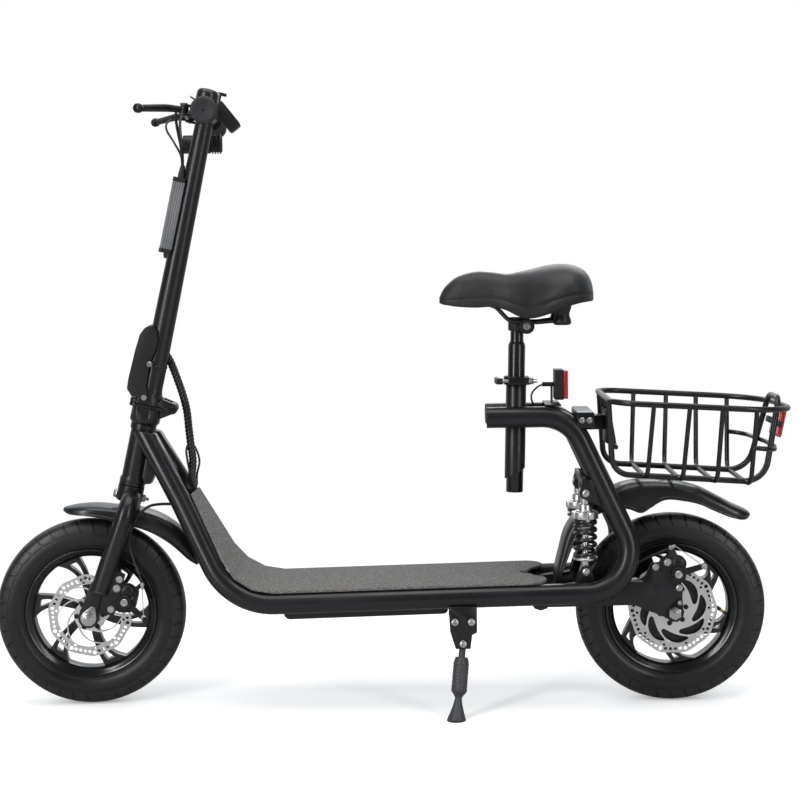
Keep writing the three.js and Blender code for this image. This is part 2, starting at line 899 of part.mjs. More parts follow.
function fenderRing(angle, crown, skirt, wide) {
  const half = wide * fenderHalfWidth;
  const place = (acrossShare, upShare, inset) => {
    const radius = skirt * tyreRadius + upShare * ((crown - skirt) * tyreRadius - inset);
    const spot = polar(radius, angle);
    return at(spot.x, acrossShare * (half - inset), spot.y);
  };
  const outer = archShares.map(([across, up]) => place(across, up, 0));
  const inner = archShares.map(([across, up]) => place(across, up, fenderWall));
  return [...outer, ...inner.reverse()];
}

// Rows of angle from straight back, crown, skirt and half width, as shares.
const frontFenderShares = [
  [103, 1.142, 1.125, 0.16], [99, 1.14, 1.085, 0.62], [90, 1.14, 1.06, 0.92],
  [76, 1.155, 1.04, 0.98], [66, 1.205, 1.045, 1], [54, 1.26, 1.09, 1],
  [42, 1.29, 1.135, 1], [30, 1.275, 1.185, 0.96], [24, 1.265, 1.24, 0.62],
];
const rearFenderShares = [
  [168, 1.25, 1.215, 0.9], [161, 1.277, 1.22, 1], [152, 1.315, 1.235, 1], [143, 1.38, 1.27, 1],
  [134, 1.41, 1.3, 1], [123, 1.418, 1.265, 1], [114, 1.413, 1.18, 1], [108, 1.403, 1.085, 1],
  [102, 1.38, 1.11, 1], [94, 1.347, 1.19, 1], [80, 1.28, 1.19, 1],
  [66, 1.235, 1.16, 0.98], [56, 1.268, 1.18, 0.92], [48.5, 1.283, 1.25, 0.5],
];

const frontFenderRings = frontFenderShares.map(([angle, ...shares]) => fenderRing(
  angle + headTilt, ...shares,
));
const fenderPost = block(
  at(forkOffset + fenderMountX, 0, (crownHeight - legRadius + tyreRadius * 1.13) / 2),
  2 * fenderMountHalf,
  2 * fenderMountHalf,
  crownHeight - legRadius - tyreRadius * 1.13 - 2 * gap,
);
const frontFenderBody = join([loft(frontFenderRings), fenderPost]);
const frontFender = node(turnedHead, 'front_fender', frontFenderBody, materials.gloss);
frontFender.position.set(-forkOffset, 0, 0);

// A mechanical caliper: rounded body, slot for the disc, adjuster and bolts.
function caliperBody(centreX, centreZ, discX, discZ, discRadius) {
  const body = plate(hull([
    [centreX - caliperHalfLength + caliperRound, centreZ - caliperHalfHeight / 2, caliperRound],
    [centreX - caliperHalfLength + caliperRound, centreZ + caliperHalfHeight / 2, caliperRound],
    [centreX + caliperHalfLength / 2, centreZ + caliperHalfHeight / 2, caliperRound],
    [centreX + caliperHalfLength / 2, centreZ - caliperHalfHeight / 3, caliperRound],
  ]), -caliperOuter, -caliperInner);
  const slot = crossRod(
    discX, discZ, -rotorMiddle - caliperSlotHalf, -rotorMiddle + caliperSlotHalf,
    discRadius + caliperSlotHalf, wheelSides,
  );
  return cut(body, [slot]);
}

function caliperArm(length, tilt) {
  const tip = polar(length, tilt);
  return join([
    plate(hull([[0, 0, armHubRadius / 1.5], [tip.x, tip.y, armTipRadius]]),
      -armOuter + 2, -armInner - 1),
    crossRod(0, 0, -armOuter, -armInner, armHubRadius, rodSides),
    crossRod(tip.x, tip.y, -armOuter - 2, -armInner - 1, armTipRadius, 8),
  ]);
}

const frontCaliper = cut(caliperBody(
  caliperPivotX - forkOffset, caliperPivotZ, -forkOffset, 0, rotorRadius,
), [forkLeg(-1), plate([
  flat(-legFootForward, 0),
  flat(forkTabBack + gap, 0),
  flat(forkTabBack + gap, forkTabTop + 20),
  flat(-legFootForward, forkTabTop + 20),
], -dropoutInner + gap, -dropoutOuter - 6)]);
const cableStop = rod(at(36, -50, 50), at(51.6, -66.6, 75), 4, 3.4, smallSides);
node(turnedHead, 'front_caliper', join([frontCaliper, cableStop]), materials.gloss);
const frontArm = node(turnedHead, 'front_caliper_arm', caliperArm(armLength, -30), materials.gloss);
frontArm.position.set(caliperPivotX - forkOffset, 0, caliperPivotZ);

// Frame rails
function railPath(side) {
  const corners = [
    at(railFrontX, side * railFrontY, railFrontZ),
    at(railKneeX, side * railKneeY, railKneeZ),
    at(footBendX, side * deckRailY, footBendZ),
    at(rearBendX, side * deckRailY, rearBendZ),
    at(topBendX, side * topBendY, topBendZ),
    at(topRailX, side * topRailY, topRailZ),
  ];
  return rounded(corners, [railKneeBend, footBend, rearBend, topBend]);
}

const headClearance = rod(
  fromHead(0, 0, headBottom - 3 * headRadius),
  fromHead(0, 0, steererTop),
  headRadius + gap,
  headRadius + gap,
  16,
);
const aboveRails = rod(
  fromHead(0, 0, railTopLevel),
  fromHead(0, 0, steererTop),
  3 * headRadius,
  3 * headRadius,
  16,
);
const railLeft = tube(railPath(-1), railRadius, tubeSides);
const railRight = tube(railPath(1), railRadius, tubeSides);
const railLeftWide = tube(railPath(-1), railRadius + gap, tubeSides);
const railRightWide = tube(railPath(1), railRadius + gap, tubeSides);
const railsWide = [railLeftWide, railRightWide];

// Near the steering head the two rails meet, so each is cut back at the middle.
const middleWall = block(
  at(railFrontX, 0, railFrontZ), 4 * railRadius, gap, 8 * railRadius,
);
const leftHalf = cut(railLeft, [headClearance, aboveRails, middleWall]);
const rightHalf = cut(railRight, [headClearance, aboveRails, middleWall]);

// The largest of the loose bodies that a cut leaves.
function largest(body) {
  return body.decompose().reduce((best, piece) => (
    piece.volume() > best.volume() ? piece : best
  ));
}
node(scooter, 'rail_left', largest(leftHalf), materials.frame);
node(scooter, 'rail_right', largest(rightHalf), materials.frame);

// Head tube with bearing cups and the gusset behind it
const headShell = upright([
  [steererRadius + runningGap, lowerCupEnd],
  [cupRadius, lowerCupEnd],
  [cupRadius, headBottom],
  [headRadius, headBottom],
  [headRadius, headTop],
  [cupRadius, headTop + 2],
  [cupRadius, upperCupEnd],
  [steererRadius + runningGap, upperCupEnd],
  [steererRadius + runningGap, lowerCupEnd],
], 16);
const gusset = plate([
  flat(headRadius - 3, headTop - 6),
  flat(headRadius - 3, gussetBottom + 12),
  flat(headRadius + 3, gussetBottom),
  flat(headRadius + 13, gussetBottom + 3),
  flat(headRadius + gussetDepth / 2, headBottom + 30),
], -gussetHalfWidth, gussetHalfWidth);
const toHead = head.matrixWorld.clone().invert();

// The rails as cutters in the steering head's own measure.
function headCutter(side) {
  const path = railPath(side).map((point) => point.applyMatrix4(toHead));
  return tube(path, railRadius + gap, tubeSides);
}
node(head, 'head_tube', largest(cut(join([headShell, gusset]), [headCutter(-1), headCutter(1)])),
  materials.frame);

// Deck plate: a sheet that follows the rails up to the steering head
function deckStations() {
  const normalOffset = railRadius + gap;
  const path = rounded([
    at(railKneeX, 0, railKneeZ),
    at(footBendX, 0, footBendZ),
    at(rearBendX, 0, rearBendZ),
  ], [footBend]);
  const stations = [];
  path.forEach((point, i) => {
    const before = path[Math.max(i - 1, 0)];
    const after = path[Math.min(i + 1, path.length - 1)];
    const run = after.clone().sub(before).normalize();
    const up = at(-run.z, 0, run.x);
    stations.push({
      low: point.clone().addScaledVector(up, normalOffset),
      top: point.clone().addScaledVector(up, normalOffset + deckThickness),
    });
  });
  return stations;
}

const deckFlatZ = footBendZ + 2 * railRadius;

function deckBody() {
  const stations = deckStations();
  const rings = stations.map(({ low, top }, i) => {
    const climb = THREE.MathUtils.clamp((low.z - deckFlatZ) / (railKneeZ - deckFlatZ), 0, 1);
    const half = THREE.MathUtils.lerp(deckHalfWidth, deckTopHalfWidth, climb ** 0.8);
    return [
      at(low.x, -half, low.z), at(low.x, half, low.z), at(top.x, half, top.z), at(top.x, -half, top.z),
    ];
  });
  const rear = new THREE.Shape();
  rear.moveTo(deckRearX + 400, -2 * deckHalfWidth);
  rear.lineTo(deckRearX - deckLobeRadius, -deckHalfWidth - gap);
  rear.absarc(deckRearX - deckLobeRadius, -deckHalfWidth + deckLobeRadius, deckLobeRadius,
    -Math.PI / 2, Math.PI / 3);
  rear.lineTo(notchX + notchRadius, -notchRadius);
  rear.absarc(notchX + notchRadius, 0, notchRadius, -Math.PI / 2, Math.PI / 2, true);
  rear.absarc(deckRearX - deckLobeRadius, deckHalfWidth - deckLobeRadius, deckLobeRadius,
    -Math.PI / 3, Math.PI / 2);
  rear.lineTo(deckRearX + 400, 2 * deckHalfWidth);
  const cutter = new THREE.ExtrudeGeometry(rear, {
    depth: 4 * railRadius, bevelEnabled: false, curveSegments: 6,
  });
  cutter.translate(0, 0, rearBendZ - railRadius);
  return cut(loft(rings), [solid(cutter)]);
}
node(scooter, 'deck_plate', largest(deckBody()), materials.deck);

// Heights on the rails' lower run, which rises a little to the rear
const deckSlope = (rearBendZ - footBendZ) / (rearBendX - footBendX);

function railHeight(x) {
  return footBendZ + (x - footBendX) * deckSlope;
}

// Battery box, slung between the rails under the deck
const batteryTop = (x) => railHeight(x) + railRadius - batteryEdge;
const batteryLow = (x) => batteryBottom + batteryEdge + (x - batteryFrontX) * deckSlope;
const batteryOutline = hull([
  [batteryFrontX + 3 * batteryEdge, batteryLow(batteryFrontX), batteryEdge],
  [batteryRearX - batteryEdge, batteryLow(batteryRearX), batteryEdge],
  [batteryRearX - batteryEdge, batteryTop(batteryRearX), batteryEdge],
  [batteryFrontX + batteryEdge, batteryTop(batteryFrontX), batteryEdge],
], 12);
const batterySide = deckRailY - railRadius - gap;
node(scooter, 'battery_box', plate(batteryOutline, -batterySide, batterySide), materials.plastic);

// Pivot of the rear arm: a pin between lugs on the rails
const pivotReach = deckRailY - railRadius + pivotLugRadius / 2;
const pivotPin = crossRod(pivotX, pivotZ, -pivotReach, pivotReach, pivotRadius);
const armOuterY = armMiddleY + armHalfWidth;
const pivotLug = (side) => crossRod(
  pivotX, pivotZ, side * (armOuterY + runningGap), side * pivotReach, pivotLugRadius,
);
node(scooter, 'pivot_bridge', largest(cut(
  join([pivotPin, pivotLug(-1), pivotLug(1)]),
  railsWide,
)), materials.frame);

// Rear arm: a sleeve on the pivot, two box arms, dropout plates and the shock feet
function swingArm() {
  const armTop = armTubeHeight / 2;
  const pieces = [
    crossRod(pivotX, pivotZ, -armOuterY, armOuterY, armSleeveRadius),
  ];
  for (const side of [-1, 1]) {
    const inner = side * (armMiddleY - armHalfWidth);
    const outer = side * armOuterY;
    pieces.push(plate(hull([
      [pivotX, pivotZ, armSleeveRadius],
      [shockX, armTubeMiddleZ + 2, armTop - 2],
      [armTubeEndX - armTop, armTubeMiddleZ, armTop],
    ], 8), inner, outer));
    pieces.push(plate(dropoutOutline, side * plateInner, side * plateOuter));
    for (const edge of [earInner, earInner + earThickness]) {
      const face = side * (shockY + (edge === earInner ? -edge : edge));
      pieces.push(plate(footEar, face, face - side * earThickness));
    }
    pieces.push(boltHead(plateTopX, plateTopZ - 4, side * plateInner,
      side * (plateOuter + caliperBoltReach), plateBoltRadius));
    pieces.push(boltHead(plateBackX, plateBackZ - 2, side * plateInner,
      side * (plateOuter + caliperBoltReach), plateBoltRadius));
    pieces.push(crossRod(shockX, shockFootZ, side * (shockY - earInner - earThickness),
      side * (shockY + earInner + earThickness + 2), shockBoltRadius, smallSides));
  }
  const bores = [
    crossRod(pivotX, pivotZ, -deckRailY, deckRailY, pivotRadius + runningGap),
    crossRod(wheelbase, tyreRadius, -deckRailY, deckRailY, axleRadius + gap),
  ];
  return cut(join(pieces), bores);
}

// Rear dropout plate and the foot ears of the shock absorbers, in side view
const dropoutOutline = [
  flat(armTubeEndX - 2 * armTubeHeight, armTubeMiddleZ - armTubeHeight / 2 + 4),
  flat(armTubeEndX - armTubeHeight, armTubeMiddleZ - armTubeHeight / 2),
  ...[-150, -110, -70, -30, 10, 40].map((angle) => polar(
    dropoutRadius - 1, angle, wheelbase, tyreRadius,
  )),
  flat(plateBackX + 6, plateBackZ - 4),
  flat(plateBackX - 2, plateBackZ + 5),
  flat(plateTopX + 14, plateTopZ - 26),
  flat(plateTopX + 6, plateTopZ + 3),
  flat(plateTopX - 6, plateTopZ + 2),
  flat(armTubeEndX - armTubeHeight / 2, armTubeMiddleZ + armTubeHeight / 2),
  flat(armTubeEndX - 2 * armTubeHeight, armTubeMiddleZ + armTubeHeight / 2 - 4),
];
const footEar = hull([
  [shockX, shockFootZ, shockEyeRadius - 1],
  [shockX - 15, armTubeMiddleZ + 10, 4],
  [shockX + 15, armTubeMiddleZ + 10, 4],
], 8);
const rearArm = swingArm();
node(scooter, 'swingarm', rearArm, materials.frame);

const rearDiscX = wheelbase;
const rearCaliperX = wheelbase + 1;
const rearCaliperZ = tyreRadius + 66;
const rearCaliper = cut(caliperBody(
  rearCaliperX - 2, rearCaliperZ + 1, rearDiscX, tyreRadius, rearRotorRadius,
), [
  plate(dropoutOutline.map((point) => point.clone()), -plateInner + gap, -plateOuter - 6),
  boltHead(plateTopX, plateTopZ - 4, -plateInner, -plateOuter - 6, plateBoltRadius + gap),
  boltHead(plateBackX, plateBackZ - 2, -plateInner, -plateOuter - 6, plateBoltRadius + gap),
  crossRod(wheelbase, tyreRadius, -motorHalfWidth - 3, 0, motorRadius + 3, wheelSides),
]);
node(scooter, 'rear_caliper', largest(rearCaliper), materials.gloss);
const rearCaliperArm = node(scooter, 'rear_caliper_arm', caliperArm(armLength, 17), materials.gloss);
rearCaliperArm.position.set(rearCaliperX + 4, 0, rearCaliperZ);

// Upper shock mounts: four ears and the strap that joins them in front of the rails
const topEar = hull([
  [shockX, shockTopZ, shockEyeRadius],
  [shockBridgeX + 3, shockBridgeZ, shockBridgeDepth / 2],
  [shockX + 26, shockTopZ - 16, shockEyeRadius - 4],
  [shockX + 24, shockTopZ + 10, shockEyeRadius - 4],
], 8);

function shockBridge() {
  const reach = shockY + earInner + earThickness;
  const pieces = [block(
    at(shockBridgeX, 0, shockBridgeZ), shockBridgeDepth / 2, 2 * reach, shockBridgeDepth,
  )];
  for (const side of [-1, 1]) {
    for (const edge of [-earInner, earInner + earThickness]) {
      const face = side * (shockY + edge);
      pieces.push(plate(topEar, face, face - side * earThickness));
    }
    pieces.push(crossRod(shockX, shockTopZ, side * (shockY - earInner - earThickness),
      side * (reach + 2), shockBoltRadius, smallSides));
  }
  return largest(cut(join(pieces), railsWide));
}
node(scooter, 'shock_bridge', shockBridge(), materials.frame);

// Shock absorbers: upper body with a notched collar, piston rod with the spring seat
function shockUpper() {
  const collarLow = shockCollarTop - shockCollarHeight;
  const notches = Array.from({ length: shockCollarNotches }, (_, i) => {
    const spot = polar(shockCollarRadius + 1, 360 * i / shockCollarNotches);
    return rod(at(spot.x, spot.y, collarLow - 1), at(spot.x, spot.y, shockCollarTop + 1),
      2, 2, 4);
  });
  const turnedPart = upright([
    [shockRodRadius + gap, shockSleeveEnd],
    [shockSleeveRadius, shockSleeveEnd],
    [shockSleeveRadius, collarLow],
    [shockCollarRadius, collarLow],
    [shockCollarRadius, shockCollarTop],
    [shockBodyRadius, shockCollarTop],
    [shockBodyRadius, shockCollarTop + 8],
    [shockNeckRadius, shockCollarTop + 12],
    [shockNeckRadius, shockTopZ - shockEyeRadius + 2],
    [0, shockTopZ - shockEyeRadius + 2],
    [0, shockTopZ - 2 * shockEyeRadius + 2],
    [shockRodRadius + gap, shockTopZ - 2 * shockEyeRadius + 2],
    [shockRodRadius + gap, shockSleeveEnd],
  ], 10);
  const eye = crossRod(0, shockTopZ, -earInner + runningGap, earInner - runningGap, shockEyeRadius);
  return cut(join([cut(turnedPart, notches), eye]), [
    crossRod(0, shockTopZ, -shockCollarRadius, shockCollarRadius, boreFor(shockBoltRadius), smallSides),
  ]);
}

function shockLower() {
  const lower = upright([
    [0, shockFootZ + 4],
    [shockRodRadius + 2.5, shockFootZ + 4],
    [shockRodRadius + 2.5, seatPlateTop - seatPlateHeight],
    [seatPlateRadius, seatPlateTop - seatPlateHeight],
    [seatPlateRadius, seatPlateTop],
    [shockRodRadius, seatPlateTop],
    [shockRodRadius, shockRodTop],
    [0, shockRodTop],
  ], 10);
  const eye = crossRod(0, shockFootZ, -earInner + runningGap, earInner - runningGap,
    shockEyeRadius - 1);
  return cut(join([lower, eye]), [
    crossRod(0, shockFootZ, -shockCollarRadius, shockCollarRadius,
      boreFor(shockBoltRadius, eyeGap), smallSides),
  ]);
}

function springPoints() {
  const steps = Math.round(springTurns * 8);
  return Array.from({ length: steps + 1 }, (_, i) => {
    const angle = 2 * Math.PI * i / 8;
    const height = springBottom + (springTop - springBottom) * i / steps;
    return at(springRadius * Math.cos(angle), springRadius * Math.sin(angle), height);
  });
}

// The least clear space between one turn of the spring and the next
function leastCoilGap(points) {
  let least = Infinity;
  for (let i = 0; i < points.length; i += 1) {
    for (let j = i + 5; j < points.length; j += 1) {
      least = Math.min(least, points[i].distanceTo(points[j]) - 2 * springWire);
    }
  }
  return least;
}

const coil = springPoints();
console.log(`least gap between spring turns: ${leastCoilGap(coil).toFixed(2)} mm`);
const shocks = {};
for (const [label, side] of [['left', -1], ['right', 1]]) {
  const shock = new THREE.Group();
  shock.position.set(shockX, side * shockY, 0);
  scooter.add(shock);
  shocks[label] = shock;
  node(shock, `shock_${label}_body`, shockUpper(), materials.steel);
  node(shock, `shock_${label}_rod`, shockLower(), materials.steel);
  node(shock, `shock_${label}_spring`, tube(coil, springWire, 5), materials.gloss);
}

// Seat tube: slanted at its foot, with cheeks that meet the rails
function onPost(z, x = 0, y = 0) {
  return at(seatTubeX + x + (z - seatTubeTop) * Math.tan(radians(seatTubeLean)), y, z);
}

function seatTube() {
  const cheek = block(
    onPost(topRailZ), 2 * seatTubeRadius + 8, 2 * topRailY, railRadius,
  );
  const slant = block(
    onPost(seatTubeBottom - 2 * seatTubeRadius + seatTubeCutRise / 2),
    8 * seatTubeRadius,
    4 * seatTubeRadius,
    4 * seatTubeRadius,
    Math.atan(seatTubeCutRise / (2 * seatTubeRadius)) * 180 / Math.PI,
  );
  const shell = join([
    rod(onPost(seatTubeBottom - seatTubeRadius), onPost(seatTubeTop), seatTubeRadius,
      seatTubeRadius, 12),
    cheek,
  ]);
  const bore = rod(onPost(seatPostBottom - 50), onPost(seatPostShoulder), seatPostRadius + gap,
    seatPostRadius + gap, 12);
  return largest(cut(shell, [bore, slant, ...railsWide]));
}
node(scooter, 'seat_tube', seatTube(), materials.frame);

const collarMiddle = seatTubeTop + collarHeight / 2 + gap;

function seatCollar() {
  const ring = rod(onPost(seatTubeTop + gap), onPost(seatTubeTop + collarHeight), collarRadius,
    collarRadius, 12);
  const lug = block(
    onPost(collarMiddle, 0, -collarRadius - 3), 2 * collarLug + 14, collarLug, collarHeight - 3,
  );
  const bolt = rod(
    onPost(collarMiddle, -collarRadius - 1, -collarRadius - 3),
    onPost(collarMiddle, collarRadius + 12, -collarRadius - 3), 3, 3, smallSides,
  );
  const nut = rod(
    onPost(collarMiddle, collarRadius + 4, -collarRadius - 3),
    onPost(collarMiddle, collarRadius + 13, -collarRadius - 3), 6, 6, 6,
  );
  const bore = rod(onPost(seatPostBottom), onPost(seatPostShoulder), seatPostRadius + gap,
    seatPostRadius + gap, 12);
  return cut(join([ring, lug, bolt, nut]), [bore]);
}
node(scooter, 'seat_collar', seatCollar(), materials.gloss);

// Quick-release lever of the seat clamp, on an upright pin at the front of the bolt
function clampLever() {
  const thick = collarHeight - 5;
  const outline = [flat(-6, -5), flat(2, -4.5), flat(5, 0), flat(1, 6), flat(-2, clampLeverLength - 8),
    flat(-4, clampLeverLength), flat(-9, clampLeverLength - 3), flat(-8, 8)];
  const shape = new THREE.Shape(outline);
  const geometry = new THREE.ExtrudeGeometry(shape, { depth: thick, bevelEnabled: false });
  geometry.translate(0, 0, -thick / 2);
  return cut(solid(geometry), [
    rod(at(-1, 0, 0), at(20, 0, 0), 3 + gap, 3 + gap, smallSides),
  ]);
}
const clampLeverMesh = node(scooter, 'seat_clamp_lever', clampLever(), materials.plastic);
clampLeverMesh.position.copy(onPost(collarMiddle, -collarRadius - 6 - gap, -collarRadius - 3));

// Seat post with its narrow neck and saddle clamp
const postFoot = onPost(seatPostBottom);
const postReach = (z) => onPost(z).distanceTo(postFoot);
const seatPost = along([
  [0, 0],
  [seatPostRadius, 0],
  [seatPostRadius, postReach(seatPostShoulder)],
  [seatPostNeckRadius, postReach(seatPostNeck)],
  [seatPostNeckRadius, postReach(seatPostTop)],
  [0, postReach(seatPostTop)],
], postFoot, onPost(seatPostTop).sub(postFoot).normalize(), 12);
node(scooter, 'seat_post', seatPost, materials.gloss);

// Saddle: sections across it, from nose to tail
const saddleShares = [
  [0, 0.45, 0.37, 0.06], [0.02, 0.56, 0.345, 0.13], [0.055, 0.67, 0.33, 0.19],
  [0.125, 0.8, 0.305, 0.25], [0.24, 0.875, 0.29, 0.3], [0.35, 0.865, 0.3, 0.34],
  [0.44, 0.835, 0.24, 0.42], [0.52, 0.865, 0.14, 0.56], [0.6, 0.905, 0.12, 0.74],
  [0.7, 0.965, 0.19, 0.92], [0.8, 0.99, 0.29, 1], [0.88, 0.96, 0.35, 0.97],
  [0.945, 0.88, 0.375, 0.82], [0.985, 0.74, 0.385, 0.62], [1, 0.57, 0.4, 0.42],
];
const saddleSectionShares = [
  [0, 1], [0.3, 0.99], [0.58, 0.93], [0.82, 0.77], [0.97, 0.5], [1, 0.24], [0.94, 0],
];

function saddleBody() {
  const rings = saddleShares.map(([along, crown, skirt, wide]) => {
    const x = saddleFrontX + along * saddleLength;
    const low = saddleBase + skirt * saddleHeight;
    const high = saddleBase + crown * saddleHeight;
    const belly = low + (high - low) * 0.22;
    const right = saddleSectionShares.map(([across, up]) => at(
      x, across * wide * saddleHalfWidth, low + up * (high - low),
    ));
    const left = saddleSectionShares.slice(1).map(([across, up]) => at(
      x, -across * wide * saddleHalfWidth, low + up * (high - low),
    ));
    const under = [0.6, 0, -0.6].map((across) => at(x, across * wide * saddleHalfWidth, belly));
    return [...right, ...under, ...left.reverse()];
  });
  return loft(rings);
}
const saddleSolid = saddleBody();

// Saddle rails, clamp and rear bumpers under the cushion
function saddleFrame() {
  const pieces = [];
  for (const side of [-1, 1]) {
    const y = side * saddleRailHalfGap;
    pieces.push(tube(rounded([
      at(saddleFrontX + 62, side * 8, saddleBase + 40),
      at(saddleClampX - 34, side * 14, saddleBase + 30),
      at(saddleClampX - 12, y, saddleClampZ + 8),
      at(saddleClampX + 34, y, saddleClampZ + 6),
      at(bumperX, side * bumperY, bumperBottom + 8),
    ], [20, 20, 20], 60), saddleRailRadius, wireSides));
    pieces.push(upright([
      [0, bumperBottom],
      [bumperRadius - 3, bumperBottom],
      [bumperRadius, bumperBottom + 4],
      [bumperRadius - 3, bumperBottom + 17],
      [bumperRadius, bumperBottom + 32],
      [0, bumperBottom + 32],
    ], tubeSides, bumperX, side * bumperY));
  }
  pieces.push(block(at(bumperX, 0, bumperBottom + 14), 14, 2 * bumperY, 5));
  pieces.push(crossRod(saddleClampX + 16, saddleClampZ, -saddleRailHalfGap - 7,
    saddleRailHalfGap + 7, 13, tubeSides));
  pieces.push(crossRod(saddleClampX + 16, saddleClampZ, -saddleRailHalfGap - 12,
    saddleRailHalfGap + 12, 5, 6));
  pieces.push(rod(onPost(seatPostNeck + 4), onPost(seatPostTop), seatPostNeckRadius + 4,
    seatPostNeckRadius + 4, 12));
  const postSocket = rod(onPost(seatPostNeck - 20), onPost(seatPostTop + gap),
    seatPostNeckRadius + gap, seatPostNeckRadius + gap, 12);
  return cut(join(pieces), [postSocket]);
}
const saddleFrameSolid = saddleFrame();
node(scooter, 'saddle_frame', saddleFrameSolid, materials.plastic);
const saddleRoom = join([-1, 1].flatMap((side) => [
  tube(rounded([
    at(saddleFrontX + 61, side * 8, saddleBase + 40.4),
    at(saddleClampX - 34, side * 14, saddleBase + 30),
    at(saddleClampX - 12, side * saddleRailHalfGap, saddleClampZ + 8),
    at(saddleClampX + 34, side * saddleRailHalfGap, saddleClampZ + 6),
    at(bumperX, side * bumperY, bumperBottom + 8),
  ], [20, 20, 20], 60), saddleRailRadius + gap, wireSides),
  upright([
    [0, bumperBottom - 1],
    [bumperRadius + gap, bumperBottom - 1],
    [bumperRadius + gap, bumperBottom + 32 + gap],
    [0, bumperBottom + 32 + gap],
  ], tubeSides, bumperX, side * bumperY),
]));
node(scooter, 'saddle', largest(cut(saddleSolid, [saddleRoom])), materials.seat);

// Rear fender with the strap that hangs it from the shock mounts
const rearFenderRings = rearFenderShares.map(([angle, ...shares]) => (
  fenderRing(angle, ...shares).map((point) => point.add(at(wheelbase, 0, tyreRadius)))
));
const strapLow = tyreRadius + tyreRadius * 1.03;
const strapHigh = shockBridgeZ - shockBridgeDepth / 2 - gap;
const fenderStrap = block(
  at(shockBridgeX, 0, (strapLow + strapHigh) / 2), 4, 24, strapHigh - strapLow,
);
node(scooter, 'rear_fender', join([loft(rearFenderRings), fenderStrap]), materials.gloss);

// Tail lamp on a small bracket that stands on the two top rails
const lampFootZ = topBendZ + railRadius + 1;

function tailLight() {
  const foot = block(at(lampX - 14, 0, lampFootZ), 26, 2 * topBendY, 3);
  const stem = block(at(lampX - 14, 0, (lampFootZ + lampZ) / 2), 3, 16, lampZ - lampFootZ);
  const shell = block(
    at(lampX - lampDepth / 2 + 5, 0, lampZ), lampDepth, 2 * lampHalfWidth, 2 * lampHalfHeight,
  );
  const screw = rod(at(lampX - 30, 0, lampZ), at(lampX, 0, lampZ), 4, 4, smallSides);
  return largest(cut(join([foot, stem, shell, screw]), railsWide));
}
node(scooter, 'tail_light', tailLight(), materials.plastic);
const lens = block(
  at(lampX + 5 + gap + lensDepth / 2, 0, lampZ), lensDepth, 2 * lampHalfWidth - 2,
  2 * lampHalfHeight - 3,
);
node(scooter, 'tail_light_lens', lens, materials.red);

// Kickstand: folded bracket under the left rail and a splayed leg on a cross pin
function standBracket() {
  const cheek = [
    flat(standX - standBracketHalf, standBracketTop + 8),
    flat(standX - standBracketHalf + 2, standPivotZ + 20),
    flat(standX - 12, standPivotZ - 9),
    flat(standX + 12, standPivotZ - 9),
    flat(standX + 15, standPivotZ + 14),
    flat(standX + standBracketHalf, standPivotZ + 18),
    flat(standX + standBracketHalf, standBracketTop + 8),
  ];
  const pieces = [];
  for (const side of [-1, 1]) {
    const reach = standLegRadius + runningGap + (side < 0 ? standSplayRoom : 0);
    const face = -standY + side * reach;
    pieces.push(plate(cheek, face, face + side * standCheek));
  }
  const innerReach = standLegRadius + runningGap + standCheek;
  const outerFace = -standY - innerReach - standSplayRoom;
  pieces.push(block(at(standX, -standY - standSplayRoom / 2, standBracketTop + 1),
    2 * standBracketHalf, 2 * innerReach + standSplayRoom, 14));
  for (const x of [-13, 14]) {
    pieces.push(boltHead(standX + x, standBracketTop - 16.5, outerFace - 3, outerFace + 1, 5));
  }
  pieces.push(boltHead(standX, standPivotZ, outerFace - 3, outerFace + 1, 5));
  pieces.push(crossRod(standX, standPivotZ, outerFace - 1,
    -standY + standLegRadius + runningGap + 2, 4, smallSides));
  return largest(cut(join(pieces), railsWide));
}
node(scooter, 'kickstand_bracket', standBracket(), materials.frame);

// The leg is turned: a slim neck, the sleeve that covers its spring, then the flared foot.
const standLegShares = [
  [0, 0],
  [standLegRadius - standNeckStep, 0],
  [standLegRadius - standNeckStep, 0.2],
  [standSleeveRadius - standSleeveTaper, 0.2],
  [standSleeveRadius, 0.27],
  [standSleeveRadius + standSleeveTaper / 2, 0.62],
  [standLegRadius, 0.68],
  [standLegRadius - standNeckStep, 0.72],
  [standFootRadius, 1.1],
  [0, 1.1],
];

function standLeg() {
  const foot = at(standFootX - standX, standY - standFootY, -standPivotZ);
  const reach = foot.length();
  const floor = block(at(foot.x, foot.y, foot.z - 20), 120, 120, 40);
  const eye = crossRod(0, 0, -standLegRadius, standLegRadius, 11, rodSides);
  const pinHole = crossRod(0, 0, -20, 20, boreFor(4), smallSides);
  const profile = standLegShares.map(([radius, share]) => [radius, reach * share]);
  const leg = along(profile, at(0, 0, 0), foot.clone().normalize());
  return cut(join([eye, leg]), [floor, pinHole]);
}
const kickstand = node(scooter, 'kickstand_leg', standLeg(), materials.grey);
kickstand.position.set(standX, -standY, standPivotZ);

